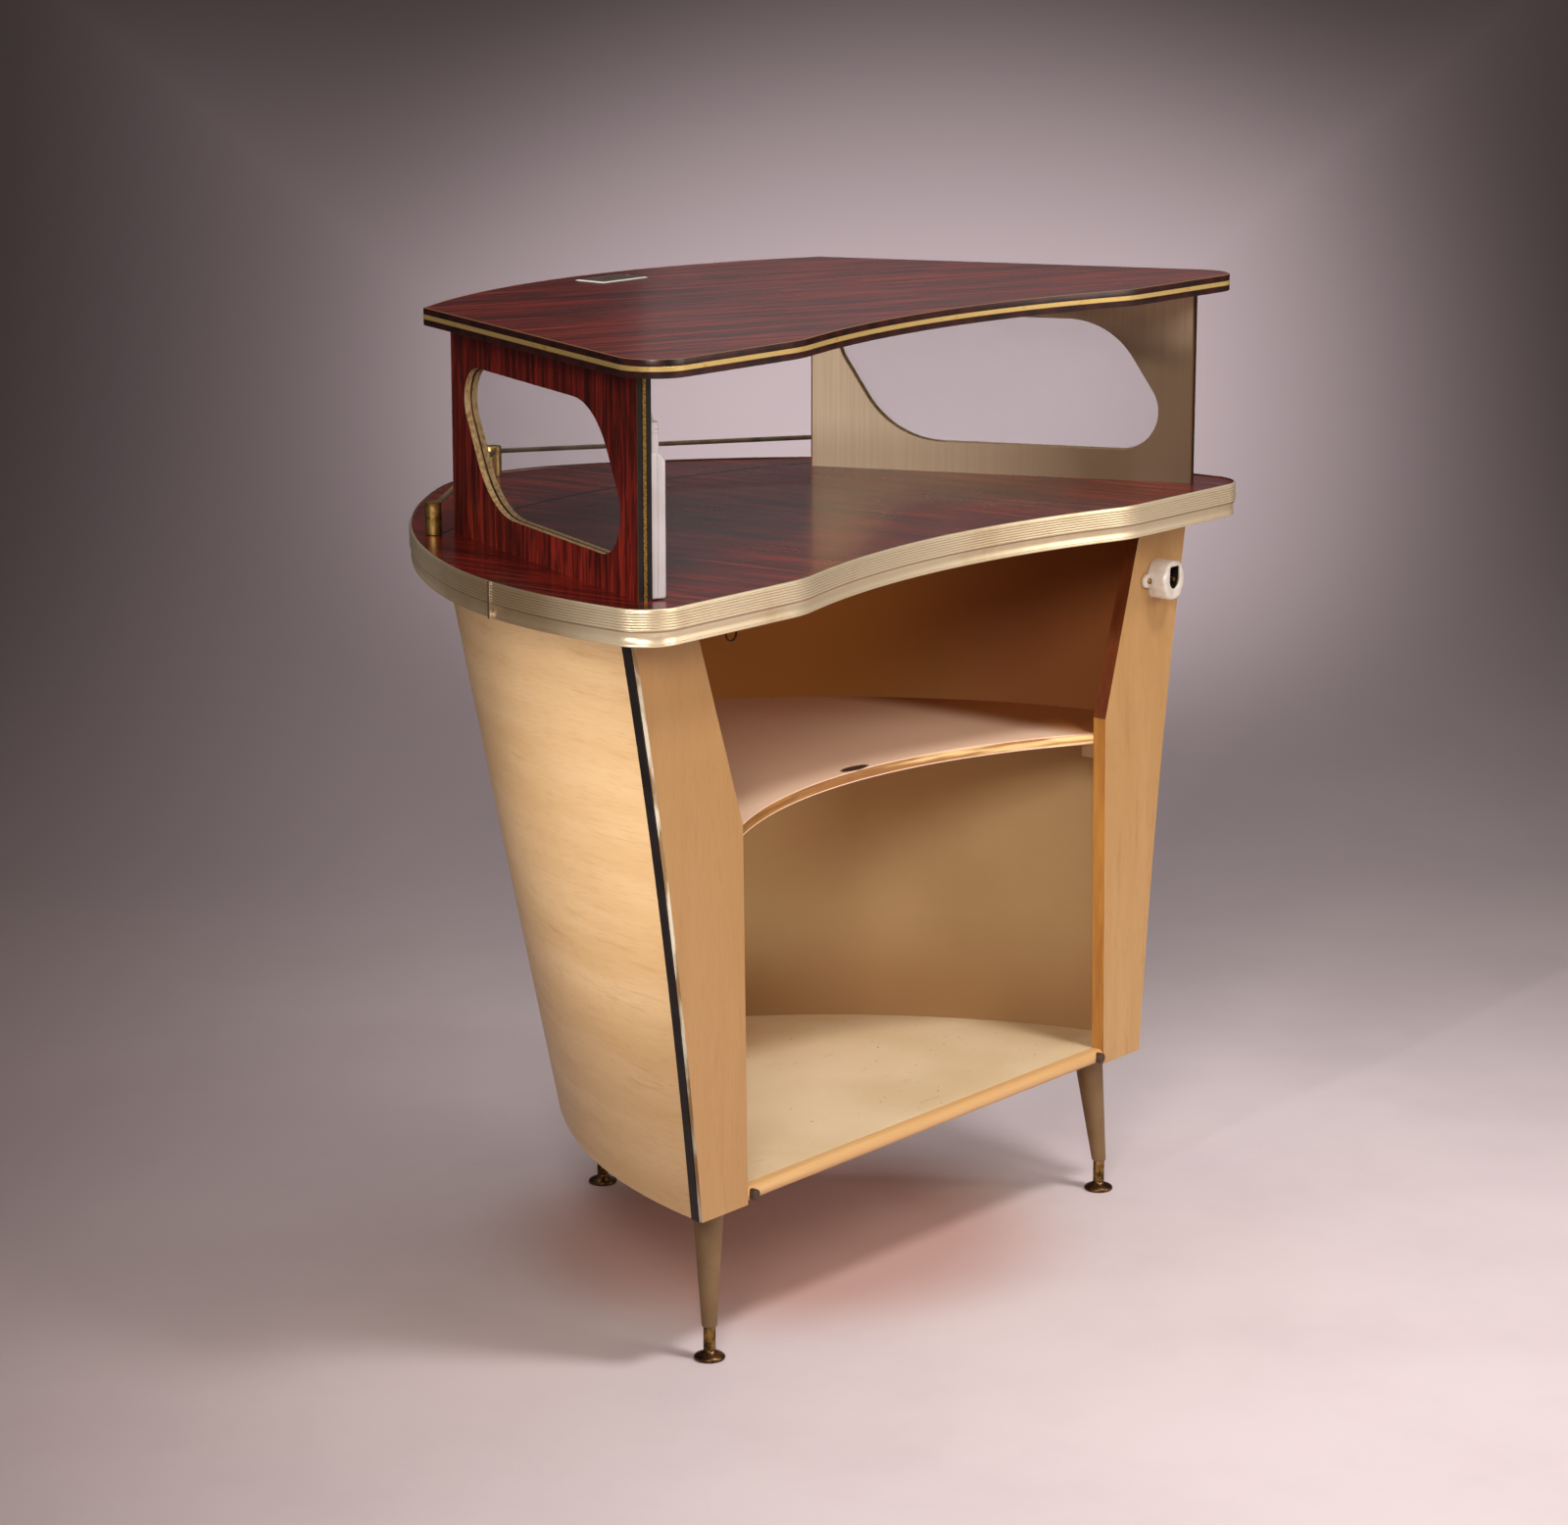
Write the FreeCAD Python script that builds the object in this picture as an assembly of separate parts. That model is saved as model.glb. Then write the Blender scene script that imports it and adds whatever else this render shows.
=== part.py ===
import FreeCAD, Part
import math
import os

V = FreeCAD.Vector

# A free-standing home bar of the 1950s, seen from behind by the person who serves.
# +Z is up, the serving side is -Y, the guests stand on +Y, and the part is mirrored about X = 0.
# All lengths are in millimetres and all angles in degrees.

# Heights above the floor
floor_to_carcass = 184.0
floor_to_counter = 916.0
floor_to_top = 1183.5
inner_shelf_height = 615.0
carcass_middle_height = 529.0

# Counter outline, seen from above: a nose, two flanks and two rear arcs, tangent to each other
counter_half_width = 577.0
counter_rear_radius = 626.0
counter_flank_radius = 976.0
counter_nose_radius = 241.0
counter_rear_turn = 29.3
counter_side_straight = 24.2
counter_corner_radius = 45.0

# Scalloped serving edge, shared by the counter and the top shelf
scallop_half_width = 315.0
scallop_depth = 49.0
scallop_blend_radius = 150.0

# Counter build-up
laminate_thickness = 1.2
counter_board_thickness = 25.0
lipping_width = 34.0
lipping_thickness = 14.0
trim_height = 42.0
trim_bead_rise = 2.0
trim_bead_reach = 3.0
trim_band_height = 22.0
trim_band_reach = 4.0
trim_cove_reach = 1.2
trim_lip_height = 3.0
trim_lip_reach = 1.8
trim_cover_width = 4.0
trim_cover_thickness = 1.5
trim_cover_angle = 17.3
groove_width = 1.4
groove_nose_setback = 192.7
groove_radius = 947.0

# Bowed carcass: how far its top stands in from the counter, how it tapers, and the arcs of its three sections
carcass_front_inset = 60.5
carcass_front_lean = 10.0
carcass_side_inset = 41.0
carcass_upper_taper = 61.0
carcass_lower_taper = 40.0
carcass_top_start = -3.5
carcass_top_rear_radius = 538.0
carcass_top_rear_turn = 29.3
carcass_top_flank_radius = 940.0
carcass_top_nose_radius = 205.0
carcass_middle_start = 3.5
carcass_middle_rear_radius = 673.0
carcass_middle_rear_turn = 30.6
carcass_middle_flank_radius = 928.0
carcass_middle_nose_radius = 184.0
carcass_bottom_start = 9.9
carcass_bottom_rear_radius = 765.0
carcass_bottom_rear_turn = 31.9
carcass_bottom_flank_radius = 916.0
carcass_bottom_nose_radius = 100.0
shell_thickness = 9.0
stile_thickness = 18.0
stile_foot_width = 80.5
stile_head_width = 100.0
stile_kink_rise = 20.0
bead_setback = 6.0
bead_depth = 8.0
bead_proud = 2.0

# Base, inner shelf and cleats
base_thickness = 19.0
board_clearance = 0.2
batten_height = 17.0
buffer_diameter = 13.5
buffer_height = 6.0
buffer_seat = 3.0
buffer_inset = 9.5
shelf_thickness = 14.0
shelf_front_inset = 177.5
shelf_front_radius = 661.0
shelf_strip_thickness = 3.0
shelf_skin = 1.4
cleat_section = 18.0
shelf_cleat_length = 46.0
counter_cleat_length = 60.0
counter_cleat_inset = 26.0

# Upper tier: two splayed side panels and the top shelf
panel_thickness = 16.5
panel_length = 503.0
panel_angle = 22.8
panel_far_inset = 238.0
panel_far_setback = 267.0
panel_edging_thickness = 2.0
panel_gold_width = 5.0
panel_gold_proud = 0.4
pane_thickness = 3.0
pane_rebate = 4.0
top_shelf_thickness = 20.5
top_far_inset = 210.0
top_far_setback = 251.0
top_far_rise = 88.0
top_side_angle = 21.8
top_corner_radius = 45.0
top_edging_thickness = 3.0
top_gold_width = 5.5
top_gold_depth = 1.2
top_gold_proud = 0.4
window_length = 84.0
window_width = 48.5
window_inset = 54.7
window_thickness = 3.0
window_recess = 2.0

# Opening of a side panel: a leaning four-sided shape with its corners rounded, each by its own radius.
# Its edges stand in from the panel's top and bottom, and its corners from the panel's far and near ends.
opening_low_margin = 39.0
opening_high_margin = 43.0
opening_low_far = 110.0
opening_low_near = 3.0
opening_high_near = 108.0
opening_high_far = 5.0
opening_low_far_radius = 120.0
opening_low_near_radius = 50.0
opening_high_near_radius = 100.0
opening_high_far_radius = 40.0

# Lamp, its cable and the switch box
lamp_length = 250.0
lamp_width = 38.0
lamp_base_height = 16.0
lamp_inset = 80.5
tube_diameter = 26.0
tube_length = 190.0
tube_gap = 4.0
tube_cap_length = 12.0
cable_diameter = 4.5
cable_bend = 22.0
clip_length = 10.0
clip_wall = 1.6
box_setback = 2.0
box_width = 46.0
box_depth = 18.0
box_base_depth = 8.0
box_height = 160.0
box_wall = 2.0
box_chamfer = 9.0
box_foot_gap = 1.0
neck_width = 26.0
neck_depth = 12.0
neck_setback = 3.0
neck_height = 33.0
gland_diameter = 9.0
gland_height = 8.0
button_diameter = 8.0
button_clearance = 0.3
button_proud = 3.5
button_travel = 2.0
button_height = 125.0
button_inset = 13.0
button_flange = 2.5
button_flange_height = 1.5
switch_block_size = 26.0

# Mains inlet on the right stile, and the screw eye under the counter
inlet_inset = 70.0
inlet_drop = 116.0
inlet_width = 34.0
inlet_height = 48.0
inlet_depth = 28.0
inlet_edge_radius = 9.0
inlet_wall = 6.0
inlet_back = 7.0
lug_width = 18.0
lug_thickness = 6.0
pin_diameter = 5.0
pin_spacing = 14.0
pin_length = 15.0
inlet_screw_diameter = 7.0
inlet_screw_head = 2.5
eye_side_inset = 185.0
eye_front_inset = 41.5
eye_drop = 27.8
eye_ring_diameter = 20.0
eye_wire = 2.6

# Gallery rail on the guests' side
post_diameter = 20.0
post_height = 39.0
post_side_inset = 212.0
post_side_setback = 258.9
post_nose_setback = 11.5
rod_diameter = 6.5
rod_drop = 7.0
rod_seat = 4.0
post_screw_diameter = 5.0
post_screw_proud = 2.5
post_screw_drop = 17.0

# Legs: each foot's place under the carcass and how far the splay carries it out from the leg's top
leg_side_inset = 45.0
leg_front_inset = 29.0
leg_nose_inset = 26.0
leg_splay = 12.2
leg_side_splay = 11.3
leg_nose_splay = 16.6
leg_plate_shift = 9.0
leg_top_diameter = 37.0
leg_end_diameter = 18.0
leg_end_height = 39.5
leg_plate_size = 60.0
leg_plate_thickness = 3.0
leg_screw_diameter = 4.0
leg_screw_head = 8.0
leg_screw_head_height = 2.0
leg_screw_length = 10.0
leg_screw_inset = 8.0
ferrule_diameter = 14.5
glide_height = 12.0
glide_diameter = 37.0
glide_rim = 5.0
glide_collar_diameter = 14.0
glide_stem_diameter = 8.0
glide_stem_length = 22.0
glide_clearance = 0.3
glide_travel = 10.0

# Heights that follow from the build-up
laminate_underside = floor_to_counter - laminate_thickness
counter_underside = laminate_underside - counter_board_thickness
lipping_underside = counter_underside - lipping_thickness
trim_top = floor_to_counter + trim_bead_rise
trim_bottom = trim_top - trim_height
shelf_underside = floor_to_top - top_shelf_thickness
base_top = floor_to_carcass + base_thickness
panel_height = shelf_underside - floor_to_counter
ferrule_length = leg_end_height - glide_height
reach = 2000.0

# Sections of the carcass, each tied to the counter's width
carcass_top_half = counter_half_width - carcass_side_inset
carcass_middle_half = carcass_top_half - carcass_upper_taper
carcass_bottom_half = carcass_middle_half - carcass_lower_taper
carcass_top = dict(half_width=carcass_top_half, start=carcass_top_start, rear_radius=carcass_top_rear_radius,
                   rear_turn=carcass_top_rear_turn, flank_radius=carcass_top_flank_radius,
                   nose_radius=carcass_top_nose_radius)
carcass_middle = dict(half_width=carcass_middle_half, start=carcass_middle_start,
                      rear_radius=carcass_middle_rear_radius, rear_turn=carcass_middle_rear_turn,
                      flank_radius=carcass_middle_flank_radius, nose_radius=carcass_middle_nose_radius)
carcass_bottom = dict(half_width=carcass_bottom_half, start=carcass_bottom_start,
                      rear_radius=carcass_bottom_rear_radius, rear_turn=carcass_bottom_rear_turn,
                      flank_radius=carcass_bottom_flank_radius, nose_radius=carcass_bottom_nose_radius)
stile_inner_half = carcass_bottom_half - stile_foot_width
stile_top_inner_half = carcass_top_half - stile_head_width
stile_kink_height = inner_shelf_height + stile_kink_rise

parts = {}


def polar(cx, cy, radius, angle, z):
    """Point at an angle on a circle."""
    turn = math.radians(angle)
    return V(cx + radius * math.cos(turn), cy + radius * math.sin(turn), z)


def arc(cx, cy, radius, start, end, z):
    """Arc edge about a centre, from one angle to another."""
    middle = (start + end) / 2
    return Part.Arc(polar(cx, cy, radius, start, z), polar(cx, cy, radius, middle, z),
                    polar(cx, cy, radius, end, z)).toShape()


def line(start, end):
    """Straight edge."""
    return Part.LineSegment(start, end).toShape()


def box(x0, x1, y0, y1, z0, z1):
    """Box between two corners."""
    return Part.makeBox(x1 - x0, y1 - y0, z1 - z0, V(x0, y0, z0))


def mirrored(shape):
    """The same shape on the other side of X = 0."""
    return shape.mirror(V(0, 0, 0), V(1, 0, 0))


def closed(half_edges):
    """Closed wire from the edges of its right half, whose ends lie on X = 0."""
    edges = list(half_edges)
    for edge in half_edges:
        edges.append(mirrored(edge))
    return Part.Wire(Part.__sortEdges__(edges))


def slab(wire_at, grow, low, high):
    """Solid of an outline grown outwards, between two heights."""
    return Part.Face(wire_at(grow, low)).extrude(V(0, 0, high - low))


def ring(wire_at, outer, inner, low, high):
    """Solid between two growths of one outline."""
    return slab(wire_at, outer, low, high).cut(slab(wire_at, inner, low, high))


def split(shape, right):
    """The half of a shape on one side of X = 0."""
    half = box(0, reach, -reach, reach, -reach, reach)
    return shape.common(half if right else mirrored(half))


def bow_centres(half_width, start, rear_radius, rear_turn, flank_radius, nose_radius, start_y):
    """Centres of the rear and flank arcs of a bowed half, the nose arc's own and the turn where it starts."""
    rear = polar(half_width, start_y, -rear_radius, start, 0)
    flank = polar(rear.x, rear.y, rear_radius - flank_radius, rear_turn, 0)
    spread = flank_radius - nose_radius
    flank_turn = math.degrees(math.acos(-flank.x / spread))
    nose_y = flank.y + spread * math.sin(math.radians(flank_turn))
    return rear, flank, nose_y, flank_turn


# Depth of the counter, which its arcs give, and the places that follow from it
counter_bow = dict(half_width=counter_half_width, start=0.0, rear_radius=counter_rear_radius,
                   rear_turn=counter_rear_turn, flank_radius=counter_flank_radius,
                   nose_radius=counter_nose_radius)
bow_depth = bow_centres(start_y=0.0, **counter_bow)[2] + counter_nose_radius
counter_half_depth = (bow_depth + counter_side_straight + counter_corner_radius) / 2
counter_side_y = counter_half_depth - bow_depth
lobe_y = -counter_half_depth
scallop_radius = (scallop_half_width ** 2 + scallop_depth ** 2) / (2 * scallop_depth)
scallop_centre_y = lobe_y + scallop_depth - scallop_radius
blend_y = lobe_y + scallop_blend_radius
blend_x = math.sqrt((scallop_radius + scallop_blend_radius) ** 2 - (blend_y - scallop_centre_y) ** 2)
blend_turn = math.degrees(math.atan2(blend_y - scallop_centre_y, blend_x))
carcass_front_top_y = lobe_y + carcass_front_inset
carcass_front_bottom_y = carcass_front_top_y - carcass_front_lean
shelf_front_apex_y = lobe_y + shelf_front_inset
groove_apex_y = counter_half_depth - groove_nose_setback
panel_far_x = counter_half_width - panel_far_inset
panel_far_y = counter_half_depth - panel_far_setback
top_far_x = counter_half_width - top_far_inset
top_far_y = counter_half_depth - top_far_setback
top_far_apex_y = top_far_y + top_far_rise
window_y = top_far_apex_y - window_inset
lamp_y = top_far_y - lamp_inset
post_side_x = counter_half_width - post_side_inset
post_side_y = counter_half_depth - post_side_setback
post_nose_y = counter_half_depth - post_nose_setback


def serving_edge(start_x, grow, z):
    """Right half of the scalloped edge: a straight lobe, a blend and half of the hollow arc."""
    lobe = line(V(start_x, lobe_y - grow, z), V(blend_x, lobe_y - grow, z))
    blend = arc(blend_x, blend_y, scallop_blend_radius + grow, -90, blend_turn - 180, z)
    hollow = arc(0, scallop_centre_y, scallop_radius - grow, blend_turn, 90, z)
    return [lobe, blend, hollow]


def serving_edge_at(x):
    """Point of the scalloped edge at a distance from the middle, and the direction in from it."""
    hollow_end_x = scallop_radius * math.cos(math.radians(blend_turn))
    if x >= blend_x:
        return V(x, lobe_y, 0), V(0, 1, 0)
    if x >= hollow_end_x:
        rise = math.sqrt(scallop_blend_radius ** 2 - (blend_x - x) ** 2)
        return V(x, blend_y - rise, 0), V(blend_x - x, rise, 0).normalize()
    rise = math.sqrt(scallop_radius ** 2 - x ** 2)
    return V(x, scallop_centre_y + rise, 0), V(x, rise, 0).normalize()


def counter_wire(grow, z):
    """Outline of the counter, grown outwards."""
    rear, flank, nose_y, flank_turn = bow_centres(start_y=counter_side_y, **counter_bow)
    corner_x = counter_half_width - counter_corner_radius
    corner_y = lobe_y + counter_corner_radius
    side_x = counter_half_width + grow
    half = [arc(0, nose_y, counter_nose_radius + grow, 90, flank_turn, z),
            arc(flank.x, flank.y, counter_flank_radius + grow, flank_turn, counter_rear_turn, z),
            arc(rear.x, rear.y, counter_rear_radius + grow, counter_rear_turn, 0, z),
            line(V(side_x, counter_side_y, z), V(side_x, corner_y, z)),
            arc(corner_x, corner_y, counter_corner_radius + grow, 0, -90, z)]
    return closed(half + serving_edge(corner_x, grow, z))


top_far_radius = (top_far_x ** 2 + (top_far_apex_y - top_far_y) ** 2) / (2 * (top_far_apex_y - top_far_y))
side_normal = V(math.cos(math.radians(top_side_angle)), math.sin(math.radians(top_side_angle)), 0)


def top_wire(grow, z):
    """Outline of the top shelf, grown outwards: a bowed far edge, straight splayed sides and the scallop."""
    offset = side_normal.dot(V(top_far_x, top_far_y, 0))
    far_y = top_far_apex_y - top_far_radius
    swing = (offset + grow - side_normal.y * far_y) / (top_far_radius + grow)
    far_turn = top_side_angle + math.degrees(math.acos(swing))
    far_corner = polar(0, far_y, top_far_radius + grow, far_turn, z)
    corner_y = lobe_y + top_corner_radius
    corner_x = (offset - top_corner_radius - side_normal.y * corner_y) / side_normal.x
    near = polar(corner_x, corner_y, top_corner_radius + grow, top_side_angle, z)
    half = [arc(0, far_y, top_far_radius + grow, 90, far_turn, z),
            line(far_corner, near),
            arc(corner_x, corner_y, top_corner_radius + grow, top_side_angle, -90, z)]
    return closed(half + serving_edge(corner_x, grow, z))


# Carcass envelope, a smooth skin through three bowed sections
front_lean = (carcass_front_top_y - carcass_front_bottom_y) / (counter_underside - floor_to_carcass)


def front_y(z):
    """Depth of the leaning front plane at a height."""
    return carcass_front_bottom_y + front_lean * (z - floor_to_carcass)


def carcass_wire(bow, grow, z, mouth_y):
    """Closed section of the carcass, cut straight across at the mouth."""
    rear, flank, nose_y, flank_turn = bow_centres(start_y=front_y(z), **bow)
    rear_radius = bow["rear_radius"] + grow
    start = math.degrees(math.asin((mouth_y - rear.y) / rear_radius))
    right = [arc(rear.x, rear.y, rear_radius, start, bow["rear_turn"], z),
             arc(flank.x, flank.y, bow["flank_radius"] + grow, bow["rear_turn"], flank_turn, z)]
    nose = arc(0, nose_y, bow["nose_radius"] + grow, flank_turn, 180 - flank_turn, z)
    left = [mirrored(edge) for edge in right]
    mouth = polar(rear.x, rear.y, rear_radius, start, z)
    return Part.Wire([right[0], right[1], nose, left[1], left[0], line(V(-mouth.x, mouth_y, z), mouth)])


def carcass_loft(grow, mouth_y):
    """Solid inside the carcass skin, grown outwards."""
    levels = ((carcass_bottom, floor_to_carcass), (carcass_middle, carcass_middle_height),
              (carcass_top, counter_underside))
    wires = [carcass_wire(bow, grow, z, mouth_y) for bow, z in levels]
    return Part.makeLoft(wires, True, False)


def behind_front(setback, depth):
    """Leaning slab that starts a setback behind the front plane."""
    low, high = floor_to_carcass - reach, counter_underside + reach
    corners = [V(-reach, front_y(low) + setback, low), V(-reach, front_y(low) + setback + depth, low),
               V(-reach, front_y(high) + setback + depth, high), V(-reach, front_y(high) + setback, high)]
    return Part.Face(Part.makePolygon(corners + corners[:1])).extrude(V(2 * reach, 0, 0))


mouth_y = carcass_front_bottom_y - 3 * stile_thickness
envelope = carcass_loft(0, mouth_y)
cavity = carcass_loft(-shell_thickness, mouth_y - stile_thickness)


def level(low, high):
    """Everything between two heights."""
    return box(-reach, reach, -reach, reach, low, high)


def carcass():
    """Bowed shell, the two stiles that face the server and the black beads over their joints."""
    bead_width = stile_thickness - bead_setback
    skin = carcass_loft(bead_proud, mouth_y).cut(carcass_loft(-bead_depth, mouth_y - stile_thickness))
    bead = skin.common(behind_front(bead_setback, bead_width))
    doorway = [V(stile_inner_half, -reach, floor_to_carcass - 1),
               V(stile_inner_half, -reach, stile_kink_height),
               V(stile_top_inner_half, -reach, counter_underside + 1)]
    doorway += [V(-p.x, p.y, p.z) for p in reversed(doorway)]
    opening = Part.Face(Part.makePolygon(doorway + doorway[:1])).extrude(V(0, 2 * reach, 0))
    stiles = envelope.common(behind_front(0, stile_thickness)).cut(opening).cut(bead)
    parts["bowed_front_shell"] = envelope.common(behind_front(stile_thickness, reach)).cut(cavity)
    for name, right in (("left", False), ("right", True)):
        parts[name + "_stile"] = split(stiles, right)
        parts[name + "_edge_bead"] = split(bead, right)


def base():
    """Base board inside the shell, the batten along its front and the two round buffers let into it."""
    inside = cavity.common(behind_front(stile_thickness + board_clearance, reach))
    parts["base_panel"] = inside.common(level(floor_to_carcass, base_top))
    batten = behind_front(0, stile_thickness).common(box(-stile_inner_half, stile_inner_half, -reach, reach,
                                                         base_top - batten_height, base_top))
    buffer_z = base_top - batten_height / 2
    tip = V(stile_inner_half - buffer_inset, front_y(buffer_z) - buffer_height, buffer_z)
    buffer = Part.makeCylinder(buffer_diameter / 2, buffer_height + buffer_seat, tip, V(0, 1, 0))
    buffers = Part.makeCompound([buffer, mirrored(buffer)])
    parts["base_front_batten"] = batten.cut(buffers)
    parts["base_buffers"] = buffers


def inner_shelf():
    """Shelf across the middle, hollow at the front, with a strip let into its front edge, and its cleats."""
    under = inner_shelf_height - shelf_thickness
    centre = V(0, shelf_front_apex_y - shelf_front_radius, under)
    inside = cavity.common(behind_front(stile_thickness + board_clearance, reach))
    blank = inside.common(level(under, inner_shelf_height))
    blank = blank.cut(Part.makeCylinder(shelf_front_radius, shelf_thickness, centre))
    strip_radius = shelf_front_radius + shelf_strip_thickness
    strip = blank.common(Part.makeCylinder(strip_radius, shelf_thickness, centre))
    strip = strip.common(level(under + shelf_skin, inner_shelf_height - shelf_skin))
    parts["inner_shelf"] = blank.cut(strip)
    parts["inner_shelf_edge_strip"] = strip
    cleat = box(stile_inner_half, stile_inner_half + shelf_cleat_length, -reach, reach,
                under - cleat_section, under)
    cleat = cleat.common(behind_front(stile_thickness, cleat_section))
    parts["shelf_cleats"] = Part.makeCompound([cleat, mirrored(cleat)])


def counter():
    """Counter board with its laminate, lipping, metal edge trim and the cleats that hold it."""
    sheet = slab(counter_wire, 0, laminate_underside, floor_to_counter)
    groove_centre = V(0, groove_apex_y - groove_radius, laminate_underside)
    groove = Part.makeCylinder(groove_radius + groove_width / 2, laminate_thickness, groove_centre)
    inside = Part.makeCylinder(groove_radius - groove_width / 2, laminate_thickness, groove_centre)
    groove = groove.cut(inside).common(box(-post_side_x, post_side_x, 0, reach, 0, reach))
    parts["counter_laminate"] = sheet.cut(groove)
    parts["counter_board"] = slab(counter_wire, 0, counter_underside, laminate_underside)
    parts["counter_lipping"] = ring(counter_wire, 0, -lipping_width, lipping_underside, counter_underside)
    band_top = trim_top - trim_bead_rise
    band_bottom = band_top - trim_band_height
    lip_top = trim_bottom + trim_lip_height
    rings = [ring(counter_wire, trim_bead_reach, 0, band_top, trim_top),
             ring(counter_wire, trim_band_reach, 0, band_bottom, band_top),
             ring(counter_wire, trim_cove_reach, 0, lip_top, band_bottom),
             ring(counter_wire, trim_lip_reach, 0, trim_bottom, lip_top)]
    trim = rings[0].multiFuse(rings[1:]).removeSplitter()
    parts["counter_trim"] = trim
    rear = bow_centres(start_y=counter_side_y, **counter_bow)[0]
    seat = counter_rear_radius + trim_band_reach
    cover = Part.makeBox(trim_band_reach + trim_cover_thickness, trim_cover_width, trim_height,
                         V(seat - trim_band_reach, -trim_cover_width / 2, trim_bottom))
    cover.rotate(V(0, 0, 0), V(0, 0, 1), trim_cover_angle)
    cover.translate(V(rear.x, rear.y, 0))
    cover = mirrored(cover).cut(trim).cut(slab(counter_wire, 0, trim_bottom, trim_top))
    parts["trim_joint_cover"] = cover
    low = counter_underside - cleat_section
    cleat = box(stile_top_inner_half + counter_cleat_inset, stile_top_inner_half + counter_cleat_inset
                + counter_cleat_length, -reach, reach, low, counter_underside)
    cleat = cleat.common(behind_front(stile_thickness, cleat_section)).common(cavity)
    parts["counter_cleats"] = Part.makeCompound([cleat, mirrored(cleat)])


def on_left_panel(shape):
    """Move a shape from panel axes (along from the far end, in from the outer face, up from the counter)."""
    placed = shape.copy()
    placed.rotate(V(0, 0, 0), V(0, 0, 1), -90 - panel_angle)
    placed.translate(V(-panel_far_x, panel_far_y, floor_to_counter))
    return placed


def opening_face(grow):
    """Leaning rounded opening of a side panel, in panel axes, grown outwards."""
    low, high = opening_low_margin, panel_height - opening_high_margin
    corners = [V(opening_low_far, 0, low), V(panel_length - opening_low_near, 0, low),
               V(panel_length - opening_high_near, 0, high), V(opening_high_far, 0, high)]
    radii = [opening_low_far_radius, opening_low_near_radius,
             opening_high_near_radius, opening_high_far_radius]
    rounds = []
    for index, (corner, radius) in enumerate(zip(corners, radii)):
        back = (corners[index - 1] - corner).normalize()
        ahead = (corners[(index + 1) % len(corners)] - corner).normalize()
        inward = (back + ahead).normalize()
        half = math.acos(back.dot(ahead)) / 2
        centre = corner + inward * (radius / math.sin(half))
        swell = (radius + grow) / radius
        start = centre + (corner + back * (radius / math.tan(half)) - centre) * swell
        end = centre + (corner + ahead * (radius / math.tan(half)) - centre) * swell
        rounds.append((start, centre - inward * (radius + grow), end))
    edges = []
    for index, (start, middle, end) in enumerate(rounds):
        edges.append(Part.Arc(start, middle, end).toShape())
        edges.append(line(end, rounds[(index + 1) % len(rounds)][0]))
    return Part.Face(Part.Wire(edges))


def side_panels():
    """Splayed side panels with a glazed opening, and the black and gold edging on their ends."""
    core_length = panel_length - 2 * panel_edging_thickness
    board = box(panel_edging_thickness, panel_edging_thickness + core_length, 0, panel_thickness,
                0, panel_height)
    middle = (panel_thickness - pane_thickness) / 2
    hole = opening_face(0).extrude(V(0, panel_thickness, 0))
    pane = opening_face(pane_rebate).extrude(V(0, pane_thickness, 0))
    pane.translate(V(0, middle, 0))
    board = board.cut(hole).cut(pane)
    gold_low = (panel_thickness - panel_gold_width) / 2
    edging, gold = [], []
    ends = ((0, panel_edging_thickness, -1), (panel_length - panel_edging_thickness, panel_length, 1))
    for start, end, out in ends:
        tip = start if out < 0 else end
        strip = box(start, end, 0, panel_thickness, 0, panel_height)
        inner = tip - out * panel_edging_thickness / 2
        outer = tip + out * panel_gold_proud
        inlay = box(min(inner, outer), max(inner, outer), gold_low, gold_low + panel_gold_width,
                    0, panel_height)
        edging.append(strip.cut(inlay))
        gold.append(inlay)
    pieces = (("gantry_panel", board), ("pane", pane), ("panel_edging", Part.makeCompound(edging)),
              ("panel_gold_inlay", Part.makeCompound(gold)))
    for name, shape in pieces:
        left = on_left_panel(shape)
        parts["left_" + name] = left
        parts["right_" + name] = mirrored(left)


def top_shelf():
    """Top shelf with its laminate, black edging, gold inlay and the plate let into its top."""
    skin_low = floor_to_top - laminate_thickness
    plate_low = floor_to_top - window_recess
    recess = box(-window_length / 2, window_length / 2, window_y - window_width / 2,
                 window_y + window_width / 2, plate_low, plate_low + window_thickness)
    parts["top_window_plate"] = recess
    inside = -top_edging_thickness
    parts["top_shelf_laminate"] = slab(top_wire, inside, skin_low, floor_to_top).cut(recess)
    parts["top_shelf_board"] = slab(top_wire, inside, shelf_underside, skin_low).cut(recess)
    gold_low = shelf_underside + (top_shelf_thickness - top_gold_width) / 2
    gold = ring(top_wire, top_gold_proud, -top_gold_depth, gold_low, gold_low + top_gold_width)
    parts["top_shelf_gold_inlay"] = gold
    parts["top_shelf_edging"] = ring(top_wire, 0, inside, shelf_underside, floor_to_top).cut(gold)


box_near = panel_length - box_setback
cable_along = box_near - neck_setback - neck_width / 2
cable_in = panel_thickness + neck_depth / 2
cable_low = box_foot_gap + box_height + neck_height + gland_height


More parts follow.
